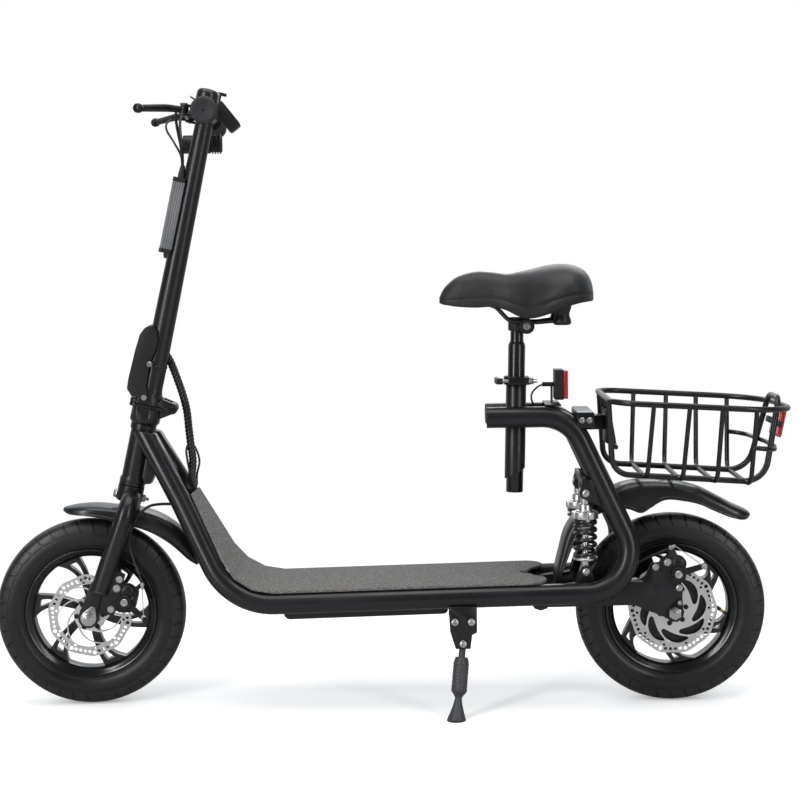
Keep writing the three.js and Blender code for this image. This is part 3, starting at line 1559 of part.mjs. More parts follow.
// A closed flat loop of bar, swept round its own plane.
function loopTube(points, normal, radius, sides) {
  const rings = points.map((point, i) => {
    const before = points[(i + points.length - 1) % points.length];
    const after = points[(i + 1) % points.length];
    const outward = after.clone().sub(before).normalize().cross(normal);
    return circle(radius, sides).map((spot) => point.clone()
      .addScaledVector(outward, spot.x).addScaledVector(normal, spot.y));
  });
  const positions = rings.flat().flatMap((point) => point.toArray());
  const index = [];
  for (let i = 0; i < rings.length; i += 1) {
    const next = (i + 1) % rings.length;
    for (let j = 0; j < sides; j += 1) {
      const k = (j + 1) % sides;
      index.push(i * sides + j, next * sides + j, next * sides + k);
      index.push(i * sides + j, next * sides + k, i * sides + k);
    }
  }
  const geometry = new THREE.BufferGeometry();
  geometry.setAttribute('position', new THREE.Float32BufferAttribute(positions, 3));
  geometry.setIndex(index);
  const body = solid(geometry);
  return body.volume() > 0 ? body : solid(flipped(geometry));
}

function flipped(geometry) {
  const turnedOver = geometry.clone();
  const order = Array.from(geometry.index.array);
  for (let i = 0; i < order.length; i += 3) {
    [order[i], order[i + 1]] = [order[i + 1], order[i]];
  }
  turnedOver.setIndex(order);
  return turnedOver;
}

// Basket
const rimSlope = (rimRearZ - rimFrontZ) / (rimRearX - rimFrontX);
const floorSlope = (floorRearZ - floorFrontZ) / (floorRearX - floorFrontX);
const rimHeight = (x) => rimFrontZ + (x - rimFrontX) * rimSlope;
const floorHeight = (x) => floorFrontZ + (x - floorFrontX) * floorSlope;

function basketRim(extra) {
  const corners = [
    at(rimRearX, 0, 0),
    at(rimRearX, rimHalfWidth, 0),
    at(rimFrontX, rimHalfWidth, 0),
    at(rimFrontX, -rimHalfWidth, 0),
    at(rimRearX, -rimHalfWidth, 0),
    at(rimRearX, 0, 0),
  ];
  const bends = [2 * rimCorner, rimCorner, rimCorner, 2 * rimCorner];
  const path = rounded(corners, bends, 45).slice(0, -1);
  path.forEach((point) => point.setZ(rimHeight(point.x)));
  const normal = at(-rimSlope, 0, 1).normalize();
  return loopTube(path, normal, basketRodRadius + extra, wireSides);
}

function basketRib(topX, bottomX) {
  const top = rimHeight(topX);
  const low = floorHeight(bottomX) - basketRodRadius + ribRodRadius;
  const corners = [
    at(topX, -rimHalfWidth, top),
    at(bottomX + 2, -floorHalfWidth - 34, low + 2),
    at(bottomX, -floorHalfWidth - 6, low),
    at(bottomX, floorHalfWidth + 6, low),
    at(bottomX + 2, floorHalfWidth + 34, low + 2),
    at(topX, rimHalfWidth, top),
  ];
  return tube(rounded(corners, [24, 30, 30, 24], 60), ribRodRadius, wireSides);
}

function basketSpine(extra) {
  const frontTop = at(rimFrontX, -floorHalfWidth, rimFrontZ);
  const runner = (side) => [
    frontTop.clone().setY(side * floorHalfWidth),
    at(floorFrontX - 18, side * floorHalfWidth, floorFrontZ),
    at(floorRearX + 34, side * floorHalfWidth, floorRearZ - 2),
    at(hoopTopX, side * hoopTopHalfWidth, hoopTopZ),
  ];
  return tube(rounded(
    [...runner(-1), ...runner(1).reverse()], [30, 40, 24, 24, 40, 30], 45,
  ), basketRodRadius + extra, wireSides);
}

// The bar half way up the sides and back
function midRail(extra) {
  const lastTop = ribTops[3];
  const sideY = (z) => {
    const share = (z - floorRearZ) / (rimRearZ - floorRearZ);
    return floorHalfWidth + 40 + share * (rimHalfWidth - floorHalfWidth - 40);
  };
  const midY = sideY(midRailZ);
  const midBack = rimRearX - 18;
  return tube(rounded([
    at(lastTop - 4, -midY - 4, midRailZ),
    at(midBack - 18, -midY - 4, midRailZ - midRailDrop / 2),
    at(midBack, -hoopTopHalfWidth, midRailZ - midRailDrop),
    at(midBack, hoopTopHalfWidth, midRailZ - midRailDrop),
    at(midBack - 18, midY + 4, midRailZ - midRailDrop / 2),
    at(lastTop - 4, midY + 4, midRailZ),
  ], [30, 30, 30, 30], 45), ribRodRadius + extra, wireSides);
}

function basketBody() {
  const ribs = ribTops.map((top, i) => basketRib(top, ribFeet[i]));
  const frontBar = rod(
    at(rimFrontX, 0, rimFrontZ), at(rimFrontX + 14, 0, floorFrontZ + 40), ribRodRadius,
    ribRodRadius, wireSides,
  );
  const frontCross = rod(
    at(rimFrontX + 12, -floorHalfWidth - 2, floorFrontZ + 44),
    at(rimFrontX + 12, floorHalfWidth + 2, floorFrontZ + 44),
    ribRodRadius, ribRodRadius, wireSides,
  );
  return join([
    basketRim(0), basketSpine(0), midRail(0), ...ribs, frontBar, frontCross, basketMount(),
  ]);
}

// Clamp that holds the basket's front to the rails
function basketMount() {
  const middle = at(mountX, 0, mountZ);
  const back = block(at(rimFrontX + 4, 0, mountZ - 14), 6, 60, 60);
  const arm = block(at((mountX + rimFrontX) / 2 + 3, 0, mountZ - 8), rimFrontX - mountX, 30, 24);
  const clamp = block(middle, 28, 2 * mountReach, 26);
  return cut(join([back, arm, clamp]), railsWide);
}
const ribTops = [935, 992, 1044, 1098];
const ribFeet = [926, 983, 1038, 1092];
const mountX = 834;
const mountZ = 480;
const mountReach = 60;
const basketRods = largest(basketBody());
node(scooter, 'basket', basketRods, materials.gloss);

// Reflector on the back of the basket's hoop
const reflectorLow = at(hoopTopX - 8, 0, hoopTopZ - 66);
const reflectorHigh = at(hoopTopX + 1, 0, hoopTopZ - 22);

function reflectorBody() {
  const middle = reflectorLow.clone().add(reflectorHigh).divideScalar(2);
  const lean = Math.atan2(reflectorHigh.x - reflectorLow.x, reflectorHigh.z - reflectorLow.z);
  const height = reflectorLow.distanceTo(reflectorHigh);
  const pad = block(middle.clone().add(at(10, 0, 0)), 7, 72, height, lean * 180 / Math.PI);
  const strap = block(middle.clone().add(at(3.5, 0, 0)), 9, 110, 10, lean * 180 / Math.PI);
  return largest(cut(join([pad, strap]), [
    basketRim(gap), basketSpine(gap), midRail(gap),
  ]));
}
node(scooter, 'basket_reflector', reflectorBody(), materials.red);

// An outline seen from above, as thick as the span from one height to another.
function slab(points, low, high) {
  const shape = new THREE.Shape(points);
  const geometry = new THREE.ExtrudeGeometry(shape, { depth: high - low, bevelEnabled: false });
  geometry.translate(0, 0, low);
  return solid(geometry);
}

// Folding joint: the base on the steerer, the stem above it and the pin behind them
const flangeCorner = 10;
const flangeOutline = hull([-1, 1].flatMap((side) => [
  [-flangeFront + flangeCorner, side * (flangeHalfSpan - flangeCorner), flangeCorner],
  [flangeBack - flangeCorner, side * (flangeHalfSpan - flangeCorner), flangeCorner],
]), 8);

const knuckleOutline = (extra) => hull([
  [foldPinX, foldPinZ, foldEarRadius + extra],
  [baseRadius - 3, steererTop - 4, 4 + extra],
  [baseRadius, flangeLevel - 6, 5 + extra],
]);
const earOutline = (extra) => hull([
  [foldPinX, foldPinZ, foldEarRadius + extra],
  [flangeBack - 8, flangeLevel + 8, 6 + extra],
  [flangeBack - 12, flangeLevel + 5, 4 + extra],
]);

// Flats on both sides of the joint's front, where the cheeks of the fold lever swing
const flatRoom = [-1, 1].map((side) => block(
  at(-baseRadius, side * (flatHalf + baseRadius), flangeLevel + baseRadius),
  2 * baseRadius + 2 * leverPinX,
  2 * baseRadius,
  4 * baseRadius - 2 * leverPinX,
));

function stemBase() {
  const core = upright([
    [0, steererTop + gap],
    [steererRadius + gap, steererTop + gap],
    [steererRadius + gap, upperCupEnd + gap],
    [cupRadius, upperCupEnd + gap],
    [baseRadius, upperCupEnd + 5],
    [baseRadius, flangeLevel],
    [0, flangeLevel],
  ], 16);
  const knuckle = plate(knuckleOutline(0), -knuckleHalf, knuckleHalf);
  const earRoom = (side) => plate(
    earOutline(3 * runningGap), side * (knuckleHalf + gap / 2), side * (earHalf + 2),
  );
  const lid = slab(circle(3 * baseRadius, 16), flangeLevel, flangeLevel + 10);
  const body = cut(join([core, slab(flangeOutline, flangeLevel - flangeThickness, flangeLevel)]), [
    earRoom(-1), earRoom(1), lid,
  ]);
  return join([
    cut(body, flatRoom),
    knuckle,
    crossRod(foldPinX, foldPinZ, -earHalf - 3, earHalf + 3, foldPinRadius, smallSides),
  ]);
}
node(turnedHead, 'stem_base', stemBase(), materials.frame);

const stemProfile = [
  [0, flangeLevel + gap],
  [baseRadius + 1, flangeLevel + gap],
  [baseRadius, flangeLevel + 12],
  [stemRadius + 1.5, flareTop - 8],
  [stemRadius, flareTop],
  [stemRadius, stemTaperStart],
  [stemRadius - 1, stemTaperEnd],
  [stemTopRadius, barLevel - clampRadius + 4],
  [0, barLevel - clampRadius + 4],
];

function stemTube() {
  const ear = (side) => plate(earOutline(0), side * (knuckleHalf + gap), side * earHalf);
  const under = slab(circle(foldPinX - foldEarRadius, rodSides), 0, flangeLevel + gap);
  const solidStem = cut(join([
    upright(stemProfile, 12),
    slab(flangeOutline, flangeLevel + gap, flangeLevel + flangeThickness),
    crossRod(0, barLevel, -clampHalfWidth, clampHalfWidth, clampRadius, 12),
    crossRod(2, stemTaperStart - 1, -stemRadius - 7, 0, 4.5, smallSides),
  ]), [
    plate(knuckleOutline(3 * runningGap), -knuckleHalf - gap, knuckleHalf + gap),
    ...flatRoom,
    under,
  ]);
  return cut(join([
    solidStem,
    ear(-1),
    ear(1),
    crossRod(-leverPinX, leverPinZ, -leverHalfWidth - 2, leverHalfWidth + 2, 3, smallSides),
  ]), [
    crossRod(foldPinX, foldPinZ, -2 * earHalf, 2 * earHalf, boreFor(foldPinRadius), smallSides),
    crossRod(0, barLevel, -2 * clampHalfWidth, 2 * clampHalfWidth, barRoom, 12),
  ]);
}
const leverHalfWidth = 22;
const leverWall = 2.4;
const stemRoom = upright(
  stemProfile.map(([radius, z]) => [radius > 0 ? radius + gap : 0, z]), 12,
);
node(turnedHead, 'stem_tube', largest(stemTube()), materials.frame);

// Fold lever: a channel that wraps the front of the stem, on a cross pin at its foot
function foldLever() {
  const outline = [
    ...[-60, -120, -180].map((angle) => polar(6.5, angle, -leverPinX, leverPinZ)),
    flat(-28, leverPinZ - 2),
    flat(-38, leverPinZ + 9),
    flat(-39, leverPinZ + 25),
    flat(-37, leverPinZ + 75),
    flat(-34.5, leverPinZ + 102),
    flat(-29, leverPinZ + 114),
    flat(-21, leverPinZ + 120),
    flat(-15, leverPinZ + 120),
    flat(-8, leverPinZ + 113),
    flat(-3.5, leverPinZ + 98),
    flat(-4.5, leverPinZ + 82),
    flat(-9, leverPinZ + 58),
    flat(-8, leverPinZ + 20),
    flat(-2, leverPinZ + 4),
  ];
  const hollow = [
    flat(10, leverPinZ - 20),
    flat(-60, leverPinZ - 20),
    flat(-60, leverPinZ + 8),
    flat(-36.5, leverPinZ + 8),
    flat(-36.5, leverPinZ + 25),
    flat(-34, leverPinZ + 75),
    flat(-31, leverPinZ + 102),
    flat(-23, leverPinZ + 115),
    flat(10, leverPinZ + 117),
  ];
  const body = plate(outline, -leverHalfWidth, leverHalfWidth);
  const inner = leverHalfWidth - leverWall;
  return largest(cut(body, [
    plate(hollow, -inner, inner),
    stemRoom,
    crossRod(-leverPinX, leverPinZ, -2 * leverHalfWidth, 2 * leverHalfWidth, boreFor(3), smallSides),
  ]));
}
node(turnedHead, 'fold_lever', foldLever(), materials.plastic);

// Handlebar, straight in its clamp and swept back and down to its ends
const barEnd = (side) => at(
  (barHalfLength - barCentreHalf) * Math.tan(radians(barSweep)),
  side * barHalfLength,
  barLevel - barDrop,
);
const barShoulder = (side) => at(0, side * barCentreHalf, barLevel);
const barPath = rounded([barEnd(-1), barShoulder(-1), barShoulder(1), barEnd(1)], [60, 60], 5);
node(turnedHead, 'handlebar', tube(barPath, barRadius, 12), materials.gloss);

function gripBody(side, ribs) {
  const inward = barShoulder(side).sub(barEnd(side)).normalize();
  const cap = gap + 3;
  const ribbed = [];
  for (let i = 0; i < ribs; i += 1) {
    const start = 12 + i * (gripLength - 24) / ribs;
    const wide = (gripLength - 24) / ribs;
    ribbed.push([gripRadius, start], [gripRadius - 1, start + wide * 0.55],
      [gripRadius - 1, start + wide * 0.85]);
  }
  return along([
    [0, -cap],
    [gripRadius - 2, -cap],
    [gripRadius, -cap + 2],
    ...ribbed,
    [gripRadius, gripLength - gripFlangeThickness - 3],
    [gripFlangeRadius, gripLength - gripFlangeThickness],
    [gripFlangeRadius, gripLength],
    [barRoom, gripLength],
    [barRoom, -gap],
    [0, -gap],
  ], barEnd(side), inward, 10);
}
node(turnedHead, 'grip_left', gripBody(-1, 2), materials.rubber);
node(turnedHead, 'throttle_grip', gripBody(1, 2), materials.rubber);

// Where the bar's centre runs at a distance from the middle, beyond its straight part
function onBar(y) {
  const share = (Math.abs(y) - barCentreHalf) / (barHalfLength - barCentreHalf);
  return barShoulder(Math.sign(y)).lerp(barEnd(Math.sign(y)), Math.max(share, 0));
}

// Brake perch: clamp on the bar and a forked mount for the lever's upright pin
const leverSlot = 11;
const perchPlate = 4;

function brakePerch(side) {
  const middle = onBar(side * perchMiddle);
  const y = middle.y;
  const ring = crossRod(middle.x, middle.z, y - perchHalf, y + perchHalf, perchRadius);
  const pivotLevel = middle.z - brakePivotDrop;
  const jaw = hull([
    [-brakePivotX, y, 8],
    [-perchRadius / 2, y, perchHalf],
  ]);
  const jaws = [-1, 1].map((end) => slab(
    jaw,
    pivotLevel + end * (leverSlot / 2 + perchPlate / 2) - perchPlate / 2,
    pivotLevel + end * (leverSlot / 2 + perchPlate / 2) + perchPlate / 2,
  ));
  const web = block(at(-perchRadius, y, pivotLevel), 9, 2 * perchHalf, leverSlot + perchPlate);
  const pin = rod(
    at(-brakePivotX, y, pivotLevel - leverSlot / 2 - perchPlate - 1),
    at(-brakePivotX, y, pivotLevel + leverSlot / 2 + perchPlate + 1), 2.6, 2.6, smallSides,
  );
  const barrel = rod(
    at(-perchRadius - 2, y - side * (perchHalf - 1), pivotLevel),
    at(-perchRadius - 6, y - side * (perchHalf + 9), pivotLevel), 3, 3, smallSides,
  );
  const bore = rod(
    onBar(side * (perchMiddle - 3 * perchHalf)), onBar(side * (perchMiddle + 3 * perchHalf)),
    barRoom, barRoom, 12,
  );
  return cut(join([ring, ...jaws, web, pin, barrel]), [bore]);
}

function brakeLever(side) {
  const y = onBar(side * perchMiddle).y;
  const reach = at(
    -brakeLeverTipX + brakePivotX,
    side * brakeLeverTipY - y,
    -brakeLeverTipDrop + brakePivotDrop + barLevel - onBar(side * perchMiddle).z,
  );
  const bend = at(reach.x * 0.42, reach.y * 0.2, reach.z * 0.25);
  const blade = tube(
    rounded([at(0, 0, 0), bend, reach], [30], 30), brakeLeverWidth - 2.5, 6,
  );
  const hub = rod(
    at(0, 0, -leverSlot / 2 + gap), at(0, 0, leverSlot / 2 - gap), 7, 7, rodSides,
  );
  const ball = new THREE.SphereGeometry(brakeBallRadius - 1, 6, 5);
  ball.translate(reach.x, reach.y, reach.z);
  const pinRoom = rod(at(0, 0, -30), at(0, 0, 30), boreFor(2.6), boreFor(2.6), smallSides);
  return cut(join([blade, hub, solid(ball)]), [pinRoom]);
}

for (const [label, side] of [['left', -1], ['right', 1]]) {
  node(turnedHead, `brake_perch_${label}`, brakePerch(side), materials.gloss);
  const lever = node(turnedHead, `brake_lever_${label}`, brakeLever(side), materials.gloss);
  const middle = onBar(side * perchMiddle);
  lever.position.set(-brakePivotX, middle.y, middle.z - brakePivotDrop);
}

// Bell: a tall domed cap on a clamp band
function bellBody() {
  const low = barLevel + barRadius + 1;
  const dome = upright([
    [0, low],
    [bellRadius - 2, low],
    [bellRadius, low + 3],
    [bellRadius, low + bellHeight - 7],
    [bellRadius - 2.5, low + bellHeight - 2.5],
    [bellRadius - 8, low + bellHeight],
    [0, low + bellHeight],
  ], 10, 0, -bellMiddle);
  const band = crossRod(0, barLevel, -bellMiddle - 8, -bellMiddle + 8, bellBase - 2);
  const bore = crossRod(0, barLevel, -barCentreHalf, 0, barRoom, 12);
  return cut(join([dome, band]), [bore]);
}
node(turnedHead, 'bell', bellBody(), materials.gloss);

// Display and throttle housing, with its face tilted up and to the rear
const keyX = 13;
const keyBase = barLevel + 27;

function displayUnit() {
  const low = displayMiddle - displayHalfWidth;
  const high = displayMiddle + displayHalfWidth;
  const band = crossRod(0, barLevel, low, high, barRadius + 6);
  const tilt = radians(displayTilt);
  const outline = hull([
    [-displayLength / 2 + 4, -displayDepth / 2 + 4, 4],
    [displayLength / 2 - 4, -displayDepth / 2 + 4, 4],
    [displayLength / 2 - 3, displayDepth / 2 - 3, 3],
    [-displayLength / 2 + 3, displayDepth / 2 - 3, 3],
  ]).map((point) => flat(
    displayX + point.x * Math.cos(tilt) + point.y * Math.sin(tilt),
    barLevel + displayRise - point.x * Math.sin(tilt) + point.y * Math.cos(tilt),
  ));
  const lock = rod(at(keyX, displayMiddle, barLevel + 8), at(keyX, displayMiddle, keyBase), 8, 7);
  const bore = crossRod(0, barLevel, 0, barCentreHalf + 3, barRoom, 12);
  const sweptBore = rod(onBar(barCentreHalf), onBar(perchMiddle + 20), barRoom, barRoom, 12);
  return cut(join([band, plate(outline, low, high), lock]), [bore, sweptBore]);
}
node(turnedHead, 'display_unit', displayUnit(), materials.plastic);

const key = join([
  rod(at(0, 0, gap), at(0, 0, keyHeight), keyRadius, keyRadius, smallSides),
  block(at(1, 0, keyHeight), keyBladeLength, 3.2, 5.5),
]);
const keyMesh = node(turnedHead, 'ignition_key', key, materials.gloss);
keyMesh.position.set(keyX, displayMiddle, keyBase);

// Headlight under the bar, level with the ground, with a finned rear cap
const headlight = new THREE.Group();
headlight.position.set(1, headlightMiddle, barLevel - headlightDrop + 17);
headlight.rotation.y = -radians(headTilt);
turnedHead.add(headlight);

function headlightBody() {
  const half = headlightLength / 2;
  const fin = [];
  for (let i = 0; i < 2; i += 1) {
    const start = half - 16 + i * 8;
    fin.push([headlightRadius - 2, start], [headlightRadius + 1, start + 1],
      [headlightRadius + 1, start + 3]);
  }
  const barrel = along([
    [0, -half + 3],
    [headlightRadius - 3, -half + 3],
    [headlightRadius - 2, -half],
    [headlightRadius, -half],
    [headlightRadius, half - 20],
    ...fin,
    [headlightRadius - 3, half],
    [0, half],
  ], at(0, 0, 0), at(1, 0, 0), 10);
  const high = headlightDrop - 17 - barRadius - 6 - gap;
  return join([barrel, block(at(-2, 0, (high + headlightRadius) / 2 - 3), 16, 18,
    high - headlightRadius + 4)]);
}
node(headlight, 'headlight', headlightBody(), materials.plastic);

// Controller box on the front of the stem: ribbed aluminium between two end caps
function controllerBox() {
  const ribs = 7;
  const front = [];
  for (let i = 0; i < ribs; i += 1) {
    const pitch = 2 * boxHalfWidth / ribs;
    const start = -boxHalfWidth + i * pitch;
    front.push(flat(-boxFront, start + pitch * 0.05), flat(-boxFront, start + pitch * 0.6));
    front.push(flat(-boxFront + 3, start + pitch * 0.65), flat(-boxFront + 3, start + pitch));
  }
  const outline = [...front.reverse(), flat(0, -boxHalfWidth), flat(0, boxHalfWidth)];
  const cap = hull([
    [-boxFront + 3, -boxHalfWidth + 3, 4], [-boxFront + 3, boxHalfWidth - 3, 4],
    [-4, boxHalfWidth - 3, 4], [-4, -boxHalfWidth + 3, 4],
  ], 8);
  const behind = block(at(boxFront - boxBack + 4, 0, boxBottom), 2 * boxFront - 4,
    4 * boxHalfWidth, 4 * boxHalfWidth + 2 * (boxTop - boxBottom));
  return largest(cut(join([
    slab(outline, boxBottom + 7, boxTop - 7),
    slab(cap, boxBottom, boxBottom + 7.5),
    slab(cap, boxTop - 7.5, boxTop),
    rod(at(-boxFront + 12, 8, boxBottom - 8), at(-boxFront + 12, 8, boxBottom + 1), 5, 5, smallSides),
    rod(at(-boxFront + 12, -8, boxTop - 1), at(-boxFront + 12, -8, boxTop + 5), 5, 5, smallSides),
  ]), [stemRoom, behind]));
}
node(turnedHead, 'controller_box', controllerBox(), materials.grey);

// Cords, each along a route of chosen points
const loomRoute = [
  at(141.7, 11.2, 579.2), at(151, 14, 553), at(160, 16, 524), at(166, 18, 496), at(168.5, 20, 464),
  at(171, 20, 440), at(175, 14, 412), at(174, 6, 386), at(178, 3, 369),
];
node(scooter, 'loom', tube(smooth(loomRoute, 16), loomRadius, 8), materials.rubber);

const frontCableRoute = [
  at(150, -14, 341), at(124, -18, 342), at(104, -30, 339), at(87.4, -44.6, 322), at(74.3, -47.8, 289),
  at(82, -52, 254), at(92, -60, 232), at(97, -62, 217),
];
node(scooter, 'front_brake_cable', tube(smooth(frontCableRoute, 24), cableRadius, 6),
  materials.rubber);

const barCableRoutes = [
  [at(-22.5, -73.3, 852.6), at(-31, -56, 838), at(-34, -36, 815), at(-26, -16, 785), at(-20.5, -3, 762)],
  [at(-22.5, 73.3, 852.6), at(-31, 56, 838), at(-34, 36, 815), at(-26, 16, 785), at(-20.5, 3, 762)],
];
const barCables = join([
  ...barCableRoutes.map((route) => tube(smooth(route, 10), cableRadius, 6)),
  rod(at(-21, 0, 753), at(-20, 0, 768), 4.4, 4.4, smallSides),
]);
node(turnedHead, 'bar_cables', largest(barCables), materials.rubber);

node(scooter, 'rear_axle', axleBody(wheelbase, tyreRadius, plateInner, plateOuter, spacerStart),
  materials.steel);

// The origin is the middle of the underside of the whole scooter's box.
scooter.updateMatrixWorld(true);
const bounds = new THREE.Box3().setFromObject(scooter, true);
const middle = bounds.getCenter(at(0, 0, 0));
scooter.position.set(-middle.x, -middle.y, -bounds.min.z);

export default scooter;
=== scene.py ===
import math

import bpy
from mathutils import Matrix, Vector


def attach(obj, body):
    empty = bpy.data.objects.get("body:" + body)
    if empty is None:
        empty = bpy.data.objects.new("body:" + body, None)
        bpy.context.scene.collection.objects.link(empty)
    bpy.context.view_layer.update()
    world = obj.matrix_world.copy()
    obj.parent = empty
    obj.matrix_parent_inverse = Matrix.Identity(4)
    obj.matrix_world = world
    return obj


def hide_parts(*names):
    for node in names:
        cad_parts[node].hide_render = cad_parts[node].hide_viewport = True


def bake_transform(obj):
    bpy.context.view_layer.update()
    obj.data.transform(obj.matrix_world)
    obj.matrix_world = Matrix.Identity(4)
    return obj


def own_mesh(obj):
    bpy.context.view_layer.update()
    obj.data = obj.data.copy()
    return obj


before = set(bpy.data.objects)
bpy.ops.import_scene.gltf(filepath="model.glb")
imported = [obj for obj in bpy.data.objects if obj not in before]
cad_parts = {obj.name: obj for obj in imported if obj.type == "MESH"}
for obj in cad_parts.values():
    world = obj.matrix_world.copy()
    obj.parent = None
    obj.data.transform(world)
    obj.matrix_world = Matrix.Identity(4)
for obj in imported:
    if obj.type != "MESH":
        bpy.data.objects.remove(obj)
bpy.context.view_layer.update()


# Camera: a long lens on the scooter's left side, a little above the deck and turned
# slightly towards the front wheel, as in the photograph.
def added(name, data):
    made = bpy.data.objects.new(name, data)
    bpy.context.scene.collection.objects.link(made)
    return made


camera_data = bpy.data.cameras.new("side_camera")
camera_data.lens = 72.68
camera_data.sensor_width = 36.0
camera_data.clip_end = 60
camera = added("side_camera", camera_data)
camera_yaw, camera_pitch, camera_roll = (math.radians(turn) for turn in (1.430, 4.792, -0.757))
forward = Vector((-math.sin(camera_yaw) * math.cos(camera_pitch), math.cos(camera_yaw) * math.cos(camera_pitch),
                  -math.sin(camera_pitch)))
level = Vector((math.cos(camera_yaw), math.sin(camera_yaw), 0))
upward = level.cross(forward)
right = math.cos(camera_roll) * level + math.sin(camera_roll) * upward
up = -math.sin(camera_roll) * level + math.cos(camera_roll) * upward
camera.matrix_world = Matrix((
    (right.x, up.x, -forward.x, 0.09117),
    (right.y, up.y, -forward.y, -2.70007),
    (right.z, up.z, -forward.z, 0.73815),
    (0, 0, 0, 1),
))
bpy.context.scene.camera = camera
bpy.context.scene.view_settings.view_transform = "Standard"


# Studio: a pale floor that runs back to a white wall, with soft lamps over and beside the
# scooter. The floor keeps the shadow under the tyres and the stand.
def feed(tree, made, **inputs):
    """Gives a shader node's inputs their values or links, each named, or numbered as in _0."""
    for key, value in inputs.items():
        socket = made.inputs[int(key[1:]) if key[1:].isdigit() else key.replace("_", " ")]
        if isinstance(value, bpy.types.Node):
            value = value.outputs[0]
        if isinstance(value, bpy.types.NodeSocket):
            tree.links.new(value, socket)
        else:
            socket.default_value = value
    return made


def node(tree, kind, settings=None, **inputs):
    made = tree.nodes.new(f"ShaderNode{kind}")
    for key, value in (settings or {}).items():
        setattr(made, key, value)
    return feed(tree, made, **inputs)


def maths(tree, operation, *values):
    return node(tree, "Math", {"operation": operation}, **{f"_{i}": value for i, value in enumerate(values)})


def ranged(tree, value, low, high, to_low=0.0, to_high=1.0):
    return node(tree, "MapRange", Value=value, From_Min=low, From_Max=high, To_Min=to_low, To_Max=to_high)


def tinted(tree, share, first, second):
    """The first colour, turned into the second one by the share."""
    return node(tree, "Mix", {"data_type": "RGBA"}, _0=share, _6=first, _7=second).outputs[2]


white = (1, 1, 1, 1)
bpy.ops.mesh.primitive_plane_add(size=1, location=(0, 0, 0))
floor = bpy.context.object
floor.name = "studio_floor"
floor.data.transform(Matrix.Diagonal((14, 14, 1, 1)))
floor_finish = bpy.data.materials.new("pale_floor")
floor_finish.use_nodes = True
tree = floor_finish.node_tree
tree.nodes.clear()
rays = node(tree, "LightPath").outputs
seen = maths(tree, "MAXIMUM", rays["Is Camera Ray"], rays["Is Transmission Ray"])
matte = node(tree, "BsdfDiffuse", Color=tinted(tree, seen, (0.45, 0.45, 0.45, 1), white))
glow = node(tree, "Emission", Color=white, Strength=0.28)
unlit = node(tree, "Emission", Color=(0, 0, 0, 1), Strength=0.0)
lift = node(tree, "MixShader", _0=seen, _1=unlit, _2=glow)
both = node(tree, "AddShader", _0=matte, _1=lift)
away = node(tree, "VectorMath", {"operation": "LENGTH"}, _0=node(tree, "TexCoord").outputs["Object"])
fade = maths(tree, "MULTIPLY", ranged(tree, away.outputs["Value"], 0.75, 1.35), seen)
far_white = node(tree, "Emission", Color=white, Strength=1.0)
node(tree, "OutputMaterial", Surface=node(tree, "MixShader", _0=fade, _1=both, _2=far_white))
floor.data.materials.append(floor_finish)

world = bpy.data.worlds.new("white_room")
bpy.context.scene.world = world
world.use_nodes = True
tree = world.node_tree
tree.nodes.clear()
rays = node(tree, "LightPath").outputs
seen = maths(tree, "MAXIMUM", rays["Is Camera Ray"], rays["Is Transmission Ray"])
depth_way = node(tree, "SeparateXYZ", _0=node(tree, "TexCoord").outputs["Generated"]).outputs["Y"]
mirrored = maths(tree, "MULTIPLY", ranged(tree, depth_way, 0.1, 0.75, 0.10, 0.8), rays["Is Glossy Ray"])
room_light = 0.45
plain = maths(tree, "MULTIPLY_ADD", rays["Is Glossy Ray"], -room_light, room_light)
room = node(tree, "Background", Color=(0.90, 0.95, 1.0, 1), Strength=maths(tree, "ADD", mirrored, plain))
wall = node(tree, "Background", Color=white, Strength=1.0)
node(tree, "OutputWorld", Surface=node(tree, "MixShader", _0=seen, _1=room, _2=wall))


def lamp(name, place, aim_height, width, height, power):
    light = bpy.data.lights.new(name, "AREA")
    light.shape = "RECTANGLE"
    light.size = width
    light.size_y = height
    light.energy = power
    made = added(name, light)
    made.location = place
    made.rotation_euler = (Vector((0, 0, aim_height)) - Vector(place)).to_track_quat("-Z", "Y").to_euler()


lamp("overhead_softbox", (0.0, -0.3, 2.9), 0.3, 2.6, 1.8, 42)
lamp("front_softbox", (-1.9, -2.4, 1.5), 0.5, 0.6, 2.4, 48)
lamp("rear_softbox", (2.1, -2.2, 1.4), 0.5, 0.45, 2.4, 24)
lamp("back_softbox", (0.4, 2.8, 2.0), 0.5, 2.4, 1.2, 22)

# Frame rails: two bent steel tubes, powder-coated satin black. Each runs from the steering
# head down round the deck and up again to carry the seat; they are welded to the head tube.
middle_x = 504.43


def spot(x, y, z):
    """A point given in millimetres, x from under the front axle."""
    return Vector((x - middle_x, y - 0.07, z + 0.02)) / 1000


steering = Matrix((
    (0.97066, -0.0934639, 0.2215485, -0.4818136),
    (0.0958458, 0.9953962, 0.0, -0.0000668),
    (-0.2205285, 0.0212345, 0.9751494, 0.1536417),
    (0, 0, 0, 1),
))


def head(x, y, z):
    """A point given in millimetres in the steering head's measure, z along its axis."""
    return steering @ (Vector((x, y, z)) / 1000)


def only(*pieces):
    bpy.ops.object.select_all(action="DESELECT")
    for piece in pieces:
        piece.select_set(True)
    bpy.context.view_layer.objects.active = pieces[0]


def shader_group(name, inputs, outputs):
    made = bpy.data.node_groups.new(name, "ShaderNodeTree")
    for label, kind, value in inputs:
        socket = made.interface.new_socket(label, in_out="INPUT", socket_type=f"NodeSocket{kind}")
        if value is not None:
            socket.default_value = value
    for label, kind in outputs:
        made.interface.new_socket(label, in_out="OUTPUT", socket_type=f"NodeSocket{kind}")
    return made, made.nodes.new("NodeGroupInput").outputs, made.nodes.new("NodeGroupOutput")


